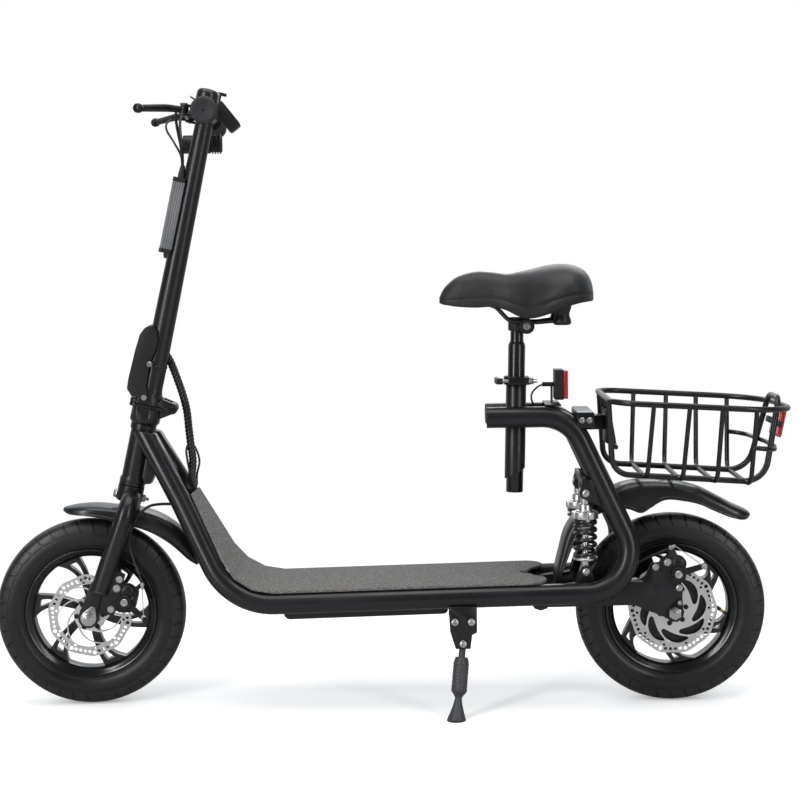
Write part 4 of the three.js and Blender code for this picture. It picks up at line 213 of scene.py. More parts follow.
# Surface grain: a fine pebble over broad cloudy variation of tone and gloss.
grain, given, result = shader_group(
    "surface_grain",
    [("Vector", "Vector", None), ("Colour", "Color", (0.03, 0.03, 0.03, 1)), ("Mottle", "Float", 0.2),
     ("Scale", "Float", 900.0), ("Roughness", "Float", 0.45), ("Spread", "Float", 0.08)],
    [("Colour", "Color"), ("Roughness", "Float"), ("Height", "Float")])
fine = node(grain, "TexNoise", Vector=given["Vector"], Scale=given["Scale"], Detail=3.0)
broad = node(grain, "TexNoise", Vector=given["Vector"], Scale=9.0, Detail=5.0)
cloud = ranged(grain, broad, 0.3, 0.7, -1.0, 1.0)
shade = node(grain, "VectorMath", {"operation": "SCALE"}, _0=given["Colour"],
             Scale=maths(grain, "MULTIPLY_ADD", cloud, given["Mottle"], 1.0))
polish = maths(grain, "MULTIPLY_ADD", cloud, given["Spread"], given["Roughness"])
speck = maths(grain, "MULTIPLY_ADD", fine, given["Spread"], polish)
feed(grain, result, Colour=shade, Roughness=speck, Height=fine)

# Edge wear: corners rubbed a little lighter, broken up by noise.
wear, given, result = shader_group(
    "edge_wear",
    [("Vector", "Vector", None), ("Colour", "Color", (0.03, 0.03, 0.03, 1)),
     ("Worn Colour", "Color", (0.2, 0.2, 0.2, 1)), ("Width", "Float", 0.0012), ("Amount", "Float", 0.5)],
    [("Colour", "Color"), ("Mask", "Float")])
softened = node(wear, "Bevel", {"samples": 4}, Radius=given["Width"])
along = node(wear, "VectorMath", {"operation": "DOT_PRODUCT"}, _0=softened,
             _1=node(wear, "NewGeometry").outputs["Normal"]).outputs["Value"]
patch = node(wear, "TexNoise", Vector=given["Vector"], Scale=220.0, Detail=4.0)
mask = maths(wear, "MULTIPLY", ranged(wear, along, 0.995, 0.93), ranged(wear, patch, 0.42, 0.62))
mask = maths(wear, "MULTIPLY", mask, given["Amount"])
feed(wear, result, Colour=tinted(wear, mask, given["Colour"], given["Worn Colour"]), Mask=mask)
slot_of = {}


def surface(name, slot):
    """A new material with the shaded point; its slot's name is noted in slot_of."""
    made = bpy.data.materials.new(name)
    made.use_nodes = True
    slot_of[made.name] = slot
    return made, made.node_tree, node(made.node_tree, "TexCoord").outputs["Object"]


def grained(tree, point, colour, mottle, scale, rough, spread):
    return node(tree, "Group", {"node_tree": grain}, Vector=point, Colour=(*colour, 1), Mottle=mottle, Scale=scale,
                Roughness=rough, Spread=spread)


def shaded(tree, colour, rough, height, depth, **more):
    """Joins a surface's colour, gloss and relief to its shader."""
    bump = node(tree, "Bump", Strength=1.0, Distance=depth, Height=height)
    feed(tree, tree.nodes["Principled BSDF"], Base_Color=colour, Roughness=rough, Normal=bump, **more)


def finish(name, slot, colour, rough, metal=0.0, scale=900.0, depth=0.00004, mottle=0.15, spread=0.07,
           worn=0.0, worn_colour=(0.12, 0.12, 0.125), coat=0.0):
    """A grained and slightly worn surface, such as paint, moulded plastic or bare metal."""
    made, tree, point = surface(name, slot)
    skin = grained(tree, point, colour, mottle, scale, rough, spread)
    tone = skin
    if worn:
        tone = node(tree, "Group", {"node_tree": wear}, Vector=point, Colour=skin, Worn_Colour=(*worn_colour, 1),
                    Amount=worn)
    shaded(tree, tone, skin.outputs["Roughness"], skin.outputs["Height"], depth, Metallic=metal, Coat_Weight=coat,
           Coat_Roughness=0.12)
    return made


def settle(piece, body, material, *stands_for, slot=None):
    """The piece gets its finish, its place on a body and the solids that it stands for."""
    piece.data.materials.clear()
    piece.data.materials.append(material)
    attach(piece, body)
    slot or slot_of[material.name]
    if stands_for:
        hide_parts(*stands_for)
    return piece


def rounded(corners, bends, step=6.0):
    """A path through the corners, each turned with its own bend radius."""
    path = [corners[0].copy()]
    for i, bend in enumerate(bends):
        before, middle, after = corners[i], corners[i + 1], corners[i + 2]
        into = (middle - before).normalized()
        out = (after - middle).normalized()
        turn = into.angle(out)
        back = bend * math.tan(turn / 2)
        centre = middle - into * back + (out - into * into.dot(out)).normalized() * bend
        start = middle - into * back - centre
        axis = into.cross(out).normalized()
        count = max(2, math.ceil(math.degrees(turn) / step))
        path += [centre + Matrix.Rotation(turn * k / count, 3, axis) @ start for k in range(count + 1)]
    path.append(corners[-1].copy())
    return path


def edit(piece, merge=None):
    """Opens the piece for editing with all of it selected, its double points merged first."""
    only(piece)
    bpy.ops.object.mode_set(mode="EDIT")
    bpy.ops.mesh.select_all(action="SELECT")
    if merge:
        bpy.ops.mesh.remove_doubles(threshold=merge)


def done(smooth=None, outward=True):
    if outward:
        bpy.ops.mesh.normals_make_consistent(inside=False)
    bpy.ops.object.mode_set(mode="OBJECT")
    if smooth:
        bpy.ops.object.shade_smooth_by_angle(angle=math.radians(smooth))


def traced(data, points, cyclic):
    """A straight-edged line of the curve, drawn through the points."""
    spline = data.splines.new("POLY")
    spline.points.add(len(points) - 1)
    for target, point in zip(spline.points, points):
        target.co = (*point, 1)
    spline.use_cyclic_u = cyclic


def tube(name, points, radius, sides=24, cyclic=False, smooth=50):
    """A round bar or tube bent along the points."""
    data = bpy.data.curves.new(name, "CURVE")
    data.dimensions = "3D"
    data.bevel_depth = radius
    data.bevel_resolution = sides // 4 - 1
    data.use_fill_caps = not cyclic
    traced(data, points, cyclic)
    made = added(name, data)
    only(made)
    bpy.ops.object.convert(target="MESH")
    edit(made, 1e-6)
    done(smooth)
    return made


def eased(piece, width, segments=2, angle=30, smooth=40):
    """Softens the piece's edges, as paint, casting or pressing leaves them."""
    only(piece)
    bevel = piece.modifiers.new("eased", "BEVEL")
    bevel.width = width
    bevel.segments = segments
    bevel.limit_method = "ANGLE"
    bevel.angle_limit = math.radians(angle)
    bpy.ops.object.modifier_apply(modifier="eased")
    bpy.ops.object.shade_smooth_by_angle(angle=math.radians(smooth))
    return piece


def dressed(solid, body, material, width=0.0006, segments=2, angle=30, smooth=40):
    """The named solid's own form, with its edges eased and its finish on."""
    made = added(f"{solid}_skin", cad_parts[solid].data.copy())
    edit(made, 2e-6)
    bpy.ops.mesh.dissolve_limited(angle_limit=math.radians(0.6))
    done(outward=False)
    if made.data.has_custom_normals:
        bpy.ops.mesh.customdata_custom_splitnormals_clear()
    eased(made, width, segments, angle, smooth)
    return settle(made, body, material, solid)


sides = {"left": -1, "right": 1}
satin_black = finish("satin_black_coat", "frame_black", (0.0085, 0.0085, 0.010), 0.29, scale=1500, depth=0.00002,
                     mottle=0.12, worn=0.25, worn_colour=(0.07, 0.07, 0.075))
rail_radius = 0.0175
for label, side in sides.items():
    corners = [spot(97, side * 20, 470), spot(161.4, side * 46, 352.7), spot(248.3, side * 92, 184.1),
               spot(939.8, side * 92, 202.1), spot(808, side * 43, 485), spot(672, side * 38, 484)]
    rail = tube(f"rail_{label}_tube", rounded(corners, [0.300, 0.114, 0.070, 0.070], 4), rail_radius, 32)
    edit(rail)
    bpy.ops.mesh.select_all(action="DESELECT")
    done(outward=False)
    for face in rail.data.polygons:
        face.select = face.center.x < -0.2
    bpy.ops.object.mode_set(mode="EDIT")
    bpy.ops.mesh.bisect(plane_co=head(0, 0, 322), plane_no=steering.to_3x3() @ Vector((0, 0, 1)),
                        use_fill=True, clear_outer=True)
    bpy.ops.mesh.select_all(action="SELECT")
    bpy.ops.mesh.bisect(plane_co=(0, side * 0.0002, 0), plane_no=(0, -side, 0), use_fill=True, clear_outer=True)
    done(outward=False)
    settle(eased(rail, 0.0012, 3, 60, 50), "frame", satin_black, f"rail_{label}")


# Head tube: a short steel tube with pressed bearing cups at both ends and a gusset plate
# welded behind it, between the two rails.
def turned(name, profile, place, steps=64, closed=False, smooth=35):
    """A body spun about the place's own Z from pairs of radius and height, in millimetres."""
    data = bpy.data.meshes.new(name)
    points = [(radius / 1000, 0, height / 1000) for radius, height in profile]
    edges = [(i, i + 1) for i in range(len(points) - 1)]
    if closed:
        edges.append((len(points) - 1, 0))
    data.from_pydata(points, edges, [])
    made = added(name, data)
    edit(made)
    bpy.ops.mesh.spin(steps=steps, angle=2 * math.pi, center=(0, 0, 0), axis=(0, 0, 1))
    bpy.ops.mesh.select_all(action="SELECT")
    bpy.ops.mesh.remove_doubles(threshold=2e-6)
    done(smooth)
    made.data.transform(place)
    return made


def standing(point, axis):
    """A place whose Z lies along the axis, at the point."""
    return Matrix.Translation(point) @ Vector(axis).to_track_quat("Z", "Y").to_matrix().to_4x4()


dressed("head_tube", "frame", satin_black, 0.0008, 2, 30, 50)
cups = [
    turned("lower_cup", [[14.7, 225.7], [19, 225.7], [21.4, 226.5], [21.6, 229], [21.6, 236], [19.6, 238],
                         [19.4, 243], [14.7, 243]], steering, 48, True),
    turned("head_shell", [[14.7, 240], [19.4, 240], [19.6, 246], [19.5, 318], [19.8, 321], [21.6, 322],
                          [21.6, 330], [20.6, 331.4], [14.7, 331.4]], steering, 48, True),
]
for cup in cups:
    settle(cup, "frame", satin_black)

# Deck: a pressed alloy plate between the rails, bent up in front against the head tube. A
# coarse grey-brown grip sheet, flecked with light grains, is glued over the whole top.
deck_sheet, tree, point = surface("deck_grip_sheet", "deck_grip")
skin = grained(tree, point, (0.125, 0.119, 0.112), 0.1, 420, 0.86, 0.1)
crumbs = node(tree, "TexVoronoi", Vector=point, Scale=620.0, Randomness=1.0).outputs
flecks = ranged(tree, crumbs["Color"], 0.62, 0.95)
shaded(tree, tinted(tree, flecks, skin, (0.34, 0.325, 0.31, 1)), skin.outputs["Roughness"],
       maths(tree, "SUBTRACT", skin.outputs["Height"], crumbs["Distance"]), 0.0006)
dressed("deck_plate", "frame", deck_sheet, 0.0012, 3, 20, 35)

# Battery box: a shallow black moulded tray with rounded edges, screwed up under the deck.
moulded_black = finish("moulded_black", "matte_plastic_black", (0.0085, 0.0085, 0.009), 0.42, scale=1100,
                       depth=0.00005, worn=0.15)
dressed("battery_box", "frame", moulded_black, 0.005, 4, 30, 40)

# Tyres: moulded pneumatic tyres with a smooth sidewall, a bead ridge at the rim, two thin
# grooves round the crown and slots cut across both shoulders.
tyre_radius = 158.5
wheelbase = 979.3


def wheel_place(centre, turn):
    """Local X and Y lie in the wheel, and Z points out to the scooter's left."""
    return Matrix.Translation(centre) @ turn @ Matrix.Rotation(math.radians(90), 4, "X")


wheels = {"front": wheel_place(head(-23.3, 0, 0), steering.to_3x3().to_4x4()),
          "rear": wheel_place(spot(wheelbase, 0, tyre_radius), Matrix.Identity(4))}


def wheel_surface(name, slot, place):
    """A material laid out round the wheel's axle: its nodes, the shaded point and its radius."""
    made, tree, point = surface(name, slot)
    back = place.inverted()
    vector = node(tree, "Mapping", Vector=point, Location=back.translation, Rotation=back.to_euler())
    flat = node(tree, "VectorMath", {"operation": "MULTIPLY"}, _0=vector, _1=(1, 1, 0))
    radius = node(tree, "VectorMath", {"operation": "LENGTH"}, _0=flat).outputs["Value"]
    return made, tree, vector, radius


def tyre_rubber(name, place):
    made, tree, vector, radius = wheel_surface(name, "tyre", place)
    skin = grained(tree, vector, (0.0065, 0.0065, 0.0075), 0.22, 1300, 0.30, 0.14)
    cloud = node(tree, "TexNoise", Vector=vector, Scale=34.0, Detail=6.0)
    dust = maths(tree, "MULTIPLY", ranged(tree, radius, 0.147, 0.157), ranged(tree, cloud, 0.4, 0.75))
    tone = tinted(tree, maths(tree, "MULTIPLY_ADD", dust, 0.6, 0.02), skin, (0.060, 0.058, 0.055, 1))
    rings = maths(tree, "SINE", maths(tree, "MULTIPLY", radius, 2300.0))
    rings = maths(tree, "MULTIPLY", rings, ranged(tree, radius, 0.118, 0.114))
    axes = node(tree, "SeparateXYZ", _0=vector).outputs
    slant = maths(tree, "MULTIPLY", radius, maths(tree, "SIGN", axes["Z"]))
    turn = maths(tree, "MULTIPLY_ADD", slant, -2.2, maths(tree, "ARCTAN2", axes["Y"], axes["X"]))
    turn = maths(tree, "MULTIPLY_ADD", turn, 38 / (2 * math.pi), 100.0)
    gap = maths(tree, "ABSOLUTE", maths(tree, "SUBTRACT", maths(tree, "FRACT", turn), 0.5))
    block = ranged(tree, radius, 0.1385, 0.1400)
    sipe_and_shade = maths(tree, "MULTIPLY", ranged(tree, gap, 0.085, 0.04), block)
    # The shoulder band beyond the blocks' inner edge is painted lighter, as a painted highlight where the shoulder
    # catches the light.
    shoulder_highlight_tone = tinted(tree, maths(tree, "MULTIPLY", block, 0.55), tone, (0.020, 0.020, 0.022, 1))
    height = maths(tree, "MULTIPLY_ADD", skin.outputs["Height"], 0.18, rings)
    height = maths(tree, "MULTIPLY_ADD", maths(tree, "SUBTRACT", block, sipe_and_shade), 3.4, height)
    # The slots across the shoulders are painted near black, as painted shade inside them; the same mask also sinks
    # them in the relief.
    shaded(tree, tinted(tree, sipe_and_shade, shoulder_highlight_tone, (0.0015, 0.0015, 0.0015, 1)), skin.outputs["Roughness"], height, 0.00022)
    return made


half_tyre = [
    [105.4, 18.6], [109.4, 18.7], [110.8, 22.0], [112.6, 23.6], [114.4, 23.8], [115.4, 24.8], [118.6, 26.6],
    [122.6, 27.8], [126.6, 28.4], [130.6, 28.4], [134.6, 27.8], [138.4, 26.8], [142.4, 25.9], [146.4, 24.6],
    [149.2, 23.4], [151.8, 21.8], [154.2, 19.0], [156.0, 15.4], [157.2, 11.4], [158.0, 7.6], [157.0, 7.2],
    [156.8, 6.4], [157.9, 6.0], [158.4, 3.0]]
tyre_profile = [*half_tyre, [tyre_radius, 0], *[[r, -h] for r, h in reversed(half_tyre)],
                [105.4, -14], [143, -20], [148, 0], [143, 20], [105.4, 14]]
tyre_steps = 240
for name, place in wheels.items():
    tyre = turned(f"{name}_tyre_rubber", tyre_profile, Matrix.Identity(4), tyre_steps, True, 42)
    for face in tyre.data.polygons:
        centre = face.center
        radius = math.hypot(centre.x, centre.y) * 1000
        turn = round((math.degrees(math.atan2(centre.y, centre.x)) % 360) / (360 / tyre_steps) - 0.5)
        shoulder = 148.8 < radius < 157.3 and abs(centre.z) > 0.0095
        face.select = shoulder and turn % 6 == (0 if centre.z > 0 else 3)
    only(tyre)
    bpy.ops.object.mode_set(mode="EDIT")
    bpy.ops.mesh.select_mode(type="FACE")
    bpy.ops.mesh.inset(thickness=0.0005)
    bpy.ops.mesh.extrude_region_shrink_fatten(TRANSFORM_OT_shrink_fatten={"value": -0.0024})
    done(outward=False)
    tyre.data.transform(place)
    settle(tyre, f"{name}_wheel", tyre_rubber(f"{name}_tyre_black", place), f"{name}_tyre")


# Rims: one-piece cast alloy, gloss black. Six swept spokes, each split by a slot, join the
# hub to a deep ring; the rear ones start from the collar round the flat motor.
def plate(name, outlines, low, high, place, width=0.0006, segments=2, smooth=40):
    """A flat plate of the given outlines, the inner ones cut through, between two heights."""
    data = bpy.data.curves.new(name, "CURVE")
    data.dimensions = "2D"
    data.fill_mode = "BOTH"
    data.extrude = (high - low) / 2000
    for outline in outlines:
        traced(data, [(x / 1000, y / 1000, 0) for x, y in outline], True)
    made = added(name, data)
    only(made)
    bpy.ops.object.convert(target="MESH")
    edit(made, 1e-6)
    bpy.ops.mesh.dissolve_limited(angle_limit=math.radians(0.5))
    done()
    eased(made, width, segments, 30, smooth)
    made.data.transform(place @ Matrix.Translation((0, 0, (low + high) / 2000)))
    return made


def polar(radius, degrees, x=0.0, y=0.0):
    turn = math.radians(degrees)
    return (x + radius * math.cos(turn), y + radius * math.sin(turn))


def curved(points, steps=4, closed=True):
    """A smooth line through the points."""
    count = len(points)
    line = []
    for i in range(count if closed else count - 1):
        near = [points[(i + k) % count] if closed else points[min(max(i + k, 0), count - 1)]
                for k in (-1, 0, 1, 2)]
        for k in range(steps):
            t = k / steps
            weights = (-t * (1 - t) ** 2 / 2, 1 - t * t * (5 - 3 * t) / 2,
                       t * (1 + t * (4 - 3 * t)) / 2, t * t * (t - 1) / 2)
            line.append(tuple(sum(w * p[n] for w, p in zip(weights, near)) for n in range(len(near[0]))))
    if not closed:
        line.append(tuple(points[-1]))
    return line


def spoke_outlines(start, degrees):
    """A spoke's edge and its slot, from rows of reach, half width and half slot in degrees."""
    reach = 98 - start
    rows = curved([(0, 13, 0), (0.4, 8, 1), (0.75, 9, 4), (1, 12, 5)], 5, closed=False)

    def edge(points, sign, column):
        return [polar(start + reach * p[0], degrees + 16 * p[0] ** 2 + sign * p[column]) for p in points]

    slot_rows = [p for p in rows if 0.4 <= p[0] <= 1 - 6.4 / reach]
    return [edge(rows, -1, 1) + edge(rows, 1, 1)[::-1], edge(slot_rows, -1, 2) + edge(slot_rows, 1, 2)[::-1]]


def joined(name, *pieces):
    only(*pieces)
    bpy.ops.object.join()
    made = bpy.context.object
    made.name = name
    return made


cast_black = finish("cast_gloss_black", "wheel_black", (0.006, 0.006, 0.0065), 0.22, scale=700, depth=0.00002,
                    mottle=0.2, worn=0.3, worn_colour=(0.06, 0.06, 0.062), coat=0.35)
rim_ring = [[109, 22.4], [109.6, 21.8], [109.2, 18.9], [105, 18.8], [100, 14], [100, -14], [105, -18.8],
            [109.2, -18.9], [109.6, -21.8], [109, -22.4], [107.8, -22.3], [105.2, -19.6], [101.4, -17.6],
            [97.6, -14.6], [96.2, -12.8], [96, -11], [96, 11], [96.2, 12.8], [97.6, 14.6], [101.4, 17.6],
            [105.2, 19.6], [107.8, 22.3]]
front_hub = [[6.4, 36.6], [26, 36.6], [27, 35.6], [27, 33], [19.4, 28.8], [19, 16], [22, 12], [27, 9.4],
             [27, -9.4], [22, -12], [19, -14.6], [19, -32.4], [18.4, -33], [6.4, -33]]
motor_collar = [[65.4, -10], [69, -10], [69, 10], [65.4, 10]]
head_lean = 12.8
for name, hub, start, first in (("front", front_hub, 23, 38 + head_lean), ("rear", motor_collar, 68.4, 30)):
    place = wheels[name]
    pieces = [turned("ring", rim_ring, place, 128, True, 50), turned("hub", hub, place, 64, True, 35)]
    for i in range(6):
        pieces.append(plate("spoke", spoke_outlines(start, first + 60 * i), -9.6, 9.6, place, 0.0022, 3, 50))
    settle(joined(f"{name}_rim_casting", *pieces), f"{name}_wheel", cast_black, f"{name}_rim")

# Valve: a brass stem with a black cap, standing inward from the rear rim.
valve_brass = finish("valve_brass", "bright_steel", (0.62, 0.42, 0.16), 0.3, metal=1.0, mottle=0.1)
stem_way = wheels["rear"].to_3x3() @ Vector((*polar(1, 143), 0))
stem_foot = wheels["rear"] @ Vector((*[c / 1000 for c in polar(97, -9.4)], 0))
valve_place = standing(stem_foot, stem_way)
valve = turned("valve_stem", [[0, 0], [3.4, 0], [3.4, 3], [2.6, 3.6], [2.6, 13.6], [0, 13.6]], valve_place, 20)
settle(valve, "rear_wheel", valve_brass)
valve_cap = turned("valve_cap", [[0, 13.7], [3.2, 13.7], [3.3, 14.6], [3.1, 20.6], [2.4, 21.4], [0, 21.4]],
                   valve_place, 12)
settle(valve_cap, "rear_wheel", moulded_black)


# Hub motor: a flat drum with machined steps on both covers and a ring of small cover screws.
def facing(axes, x, y, out, side=-1):
    """A place on crosswise axes, in millimetres, that faces out to the left (-1) or right (1)."""
    over = Matrix.Rotation(0 if side < 0 else math.pi, 4, "X")
    return axes @ Matrix.Translation((x / 1000, y / 1000, -side * out / 1000)) @ over


motor_black = finish("motor_black", "motor_black", (0.007, 0.007, 0.0075), 0.36, mottle=0.15, coat=0.2)
drum = turned("motor_drum", [
    [6.4, 36.6], [26, 36.6], [27, 35.6], [27, 31.4], [30, 30], [44, 30], [45, 29.2], [47, 29.2], [48, 30],
    [60.4, 30], [61.6, 29.6], [64.6, 26.6], [65, 25.6], [65, -25.6], [64.6, -26.6], [61.6, -29.6], [60.4, -30],
    [48, -30], [47, -29.2], [45, -29.2], [44, -30], [30, -30], [28, -32.4], [27, -33], [6.4, -33]],
    wheels["rear"], 96, True)
screws = []
for i in range(8):
    for side in (-1, 1):
        screws.append(turned("screw", [[0, 0.6], [1.4, 0.6], [1.5, 1.6], [2.6, 1.6], [3, 1], [3, 0], [0, 0]],
                             facing(wheels["rear"], *polar(54.5, 45 * i + 10), 29.9, side), 14))
settle(joined("motor_body", drum, *screws), "rear_wheel", motor_black, "hub_motor")


# Disc rotors: stamped and ground stainless steel, 2 mm thick, with a waved edge, curved
# windows and two rows of holes. Six black button-head screws hold each to its hub.
def ground_steel(name, place):
    made, tree, vector, radius = wheel_surface(name, "rotor_steel", place)
    rings = node(tree, "TexNoise", Vector=node(tree, "CombineXYZ", X=radius), Scale=2600.0, Detail=4.0)
    skin = grained(tree, vector, (0.84, 0.84, 0.82), 0.07, 300, 0.34, 0.08)
    tone = tinted(tree, ranged(tree, radius, 0.052, 0.055), skin, (0.72, 0.72, 0.69, 1))
    shaded(tree, tone, maths(tree, "MULTIPLY_ADD", rings, 0.22, 0.24), rings, 0.00005, Metallic=0.9)
    return made


def rotor(name, radius, windows, window, place):
    """A brake disc; the window's corners are a share of the inner radius and a turn."""
    def hole(size, out, degrees):
        return [polar(size, 30 * k, *polar(out, degrees)) for k in range(12)]

    edge = [polar(radius - 1.1 + 1.1 * math.cos(math.radians(30 * i)), 3 * i) for i in range(120)]
    outlines = [edge, [polar(9.6, 15 * k) for k in range(24)]]
    for i in range(windows):
        outlines.append(curved([polar(share * (radius - 17), 360 * i / windows + turn) for share, turn in window], 5))
    for i in range(10):
        for back, size, shift in ((6.0, 3.3, 0), (7.8, 2.7, 7.2), (8.4, 2.7, 14.4), (8.4, 2.7, 21.6),
                                  (7.8, 2.7, 28.8), (13.6, 2.3, 3.6)):
            outlines.append(hole(size, radius - back, 36 * i + shift))
    outlines += [hole(2.3, 16.4, 60 * i + 45) for i in range(6)]
    return plate(name, outlines, 37, 39, place, 0.0002, 1)


def button_screw(place, radius, height, steps=24):
    """A round-headed screw with a hexagon socket."""
    return turned("button", [
        [0, height * 0.3], [radius * 0.46, height * 0.3], [radius * 0.5, height * 0.94], [radius * 0.62, height],
        [radius * 0.86, height * 0.72], [radius, height * 0.2], [radius, 0], [0, 0]], place, steps)


front_window = [(0.50, 8), (0.60, 19), (0.75, 36), (0.90, 56), (0.99, 70), (1.015, 84), (1.01, 104), (0.99, 122),
                (0.88, 108), (0.74, 88), (0.60, 68), (0.51, 52), (0.49, 30)]
rear_window = [(0.62, -27), (0.71, -29), (0.83, -17), (0.93, -4), (0.985, 9), (0.985, 19), (0.95, 29), (0.88, 27),
               (0.78, 15), (0.69, 1), (0.62, -17)]
black_screw = finish("blackened_screw", "caliper_black", (0.009, 0.009, 0.0095), 0.28, metal=0.4, scale=500,
                     worn=0.4)
for name, radius, windows, window in (("front", 70, 6, front_window), ("rear", 73.5, 8, rear_window)):
    place = wheels[name]
    disc = rotor(f"{name}_disc", radius, windows, window, place)
    settle(disc, f"{name}_wheel", ground_steel(f"{name}_disc_steel", place), f"{name}_rotor")
    heads = [button_screw(facing(place, *polar(22, 60 * i + 15), 39.1), 4.3, 2.0) for i in range(6)]
    settle(joined(f"{name}_disc_screws", *heads), f"{name}_wheel", black_screw)

# Fork: two bent steel legs welded into a crown round the steerer, with flat dropout plates
# at their feet. A hex bolt runs through the crown and carries the front fender.
head_side = steering @ Matrix.Rotation(math.radians(90), 4, "X")
level_side = Matrix.Translation(spot(0, 0, 0)) @ Matrix.Rotation(math.radians(90), 4, "X")


def wrapped(*discs):
    """The outline drawn tight round discs given as x, y and radius, in millimetres."""
    dots = sorted({polar(radius, 7.5 * k, x, y) for x, y, radius in discs for k in range(48)})

    def chain(points):
        line = []
        for point in points:
            while len(line) > 1 and ((line[-1][0] - line[-2][0]) * (point[1] - line[-2][1])
                                     <= (line[-1][1] - line[-2][1]) * (point[0] - line[-2][0])):
                line.pop()
            line.append(point)
        return line[:-1]

    return chain(dots) + chain(dots[::-1])


def across(name, x, z, profile, axes=head_side, steps=32, smooth=35):
    """A body turned about a crosswise axis; its heights run out to the scooter's left."""
    return turned(name, profile, facing(axes, x, z, 0), steps, False, smooth)


def hex_head(name, place, radius, height):
    """A hexagon bolt head with its washer, standing on the place."""
    nut = turned(name, [
        [0, height * 0.3], [radius * 0.36, height * 0.3], [radius * 0.4, height * 0.96], [radius * 0.46, height],
        [radius * 0.8, height], [radius, height * 0.8], [radius, height * 0.3], [radius * 0.9, height * 0.22],
        [0, height * 0.22]], place, 6, False, 20)
    washer = turned(name, [[0, height * 0.24], [radius * 1.1, height * 0.24], [radius * 1.14, height * 0.16],
                           [radius * 1.14, 0], [0, 0]], place, 32)
    return joined(name, nut, washer)


bright_zinc = finish("bright_zinc", "bright_steel", (0.60, 0.60, 0.60), 0.28, metal=1.0, scale=700, depth=0.00002,
                     mottle=0.12, spread=0.1)
leg_half, leg_foot_x, crown_z = 56, -14.4, 206
pieces = []
for side in (-1, 1):
    leg = side * leg_half
    path = rounded([head(5, 0, crown_z), head(5, leg, crown_z), head(leg_foot_x, leg, 46)], [0.034], 4)
    pieces.append(eased(tube("fork_leg", path, 0.0155, 32), 0.0015, 2, 50, 50))
    pieces.append(plate("dropout", [wrapped((-23.3, 0, 17), (-18.65, 54.5, 12.5))],
                        52 if side < 0 else -60, 60 if side < 0 else -52, head_side, 0.0012))
    seam = [head(*polar(15.2, 20 * k, leg_foot_x, leg), 47.5 + 0.5 * (k % 2)) for k in range(18)]
    pieces.append(tube("weld_bead", seam, 0.0016, 8, True))
pieces.append(turned("steerer", [[0, 197], [20, 197], [22, 199], [22, 224.4], [14.5, 225.4], [14, 226], [14, 352],
                                 [0, 352]], steering, 48))
pieces.append(plate("caliper_tab", [[(-14.4, 12), (16, 12), (20, 24), (22, 84), (-6.4, 92)]], 52, 60, head_side,
                    0.0012))
settle(joined("fork_weldment", *pieces), "fork", satin_black, "fork")
bolts = [hex_head("tab_bolt", facing(head_side, x, z, 59.8), 5.2, 3.4) for x, z in ((14, 74.5), (10, 22))]
forward_bolt = steering @ Matrix.Translation((-0.0214, 0, 0.206)) @ Matrix.Rotation(math.radians(-90), 4, "Y")
rear_bolt = steering @ Matrix.Translation((0.0205, 0, 0.206)) @ Matrix.Rotation(math.radians(90), 4, "Y")
bolts += [hex_head("crown_bolt", forward_bolt, 7, 6), hex_head("crown_nut", rear_bolt, 6.4, 6.5),
          turned("crown_thread", [[0, 0], [3, 0], [3, 11.4], [2.4, 12.4], [0, 12.4]], rear_bolt, 20)]
settle(joined("fork_bolts", *bolts), "fork", bright_zinc)


# Front fender: a thin glossy moulding that curves over the tyre, rolled down at its sides.
# It hangs from the fork's crown on a short post.
def lofted(name, stations, shape, ring):
    """A surface laid over stations, each drawn by the shape; a ring closes it into a body."""
    points = [point for station in stations for point in shape(station)]
    count = len(points) // len(stations)
    faces = []
    for i in range(len(stations) - 1):
        for j in range(count if ring else count - 1):
            k, n = i * count + j, i * count + (j + 1) % count
            faces.append((k, n, n + count, k + count))
    if ring:
        faces += [tuple(range(count))[::-1], tuple(range(len(points) - count, len(points)))]
    data = bpy.data.meshes.new(name)
    data.from_pydata(points, [], faces)
    return added(name, data)


def fender(name, rows, place):
    """A curved guard from rows of angle, crown, skirt and half width, as shares of the tyre."""
    flank = [(1, 0), (1, 0.09), (0.965, 0.15), (0.955, 0.3), (0.93, 0.58), (0.82, 0.83), (0.56, 0.955)]
    arch = curved([*[(-over, rise) for over, rise in flank], (0, 1), *flank[::-1]], 3, closed=False)
    half_width = 35.0

    def bow(row):
        angle, crown, skirt, wide = row
        for over, rise in arch:
            x, y = polar(tyre_radius * (skirt + rise * (crown - skirt)), angle)
            yield (x / 1000, y / 1000, -over * wide * half_width / 1000)

    made = lofted(name, curved(rows, 6, closed=False), bow, False)
    only(made)
    wall = made.modifiers.new("wall", "SOLIDIFY")
    wall.thickness = 0.0026
    inward = made.data.polygons[0].normal.dot(made.data.vertices[0].co) < 0
    wall.offset = 1 if inward else -1
    bpy.ops.object.modifier_apply(modifier="wall")
    edit(made)
    done()
    eased(made, 0.0008, 2, 50, 50)
    made.data.transform(place)
    return made


def slab(x, y, to_x, to_y, corner):
    """A rectangle's outline, from the centres of two opposite rounded corners."""
    return wrapped((x, y, corner), (to_x, y, corner), (to_x, to_y, corner), (x, to_y, corner))


gloss_moulding = finish("gloss_moulding", "gloss_plastic_black", (0.006, 0.006, 0.0065), 0.34, scale=600,
                        depth=0.00003, mottle=0.15, worn=0.15, coat=0.25)
front_rows = [(103, 1.142, 1.125, 0.16), (99, 1.14, 1.085, 0.62), (90, 1.14, 1.06, 0.92),
              (76, 1.155, 1.04, 0.98), (66, 1.205, 1.045, 1), (54, 1.26, 1.09, 1),
              (42, 1.29, 1.135, 1), (30, 1.275, 1.185, 0.96), (24, 1.265, 1.24, 0.62)]
front_guard = fender("front_guard", [(a + head_lean, c, s, w) for a, c, s, w in front_rows],
                     facing(head_side, -23.3, 0, 0))
guard_post = plate("guard_post", [slab(-4, -6, 8, 6, 3)], 179.6, 190, steering, 0.0008)
settle(joined("front_fender_moulding", front_guard, guard_post), "fork", gloss_moulding, "front_fender")

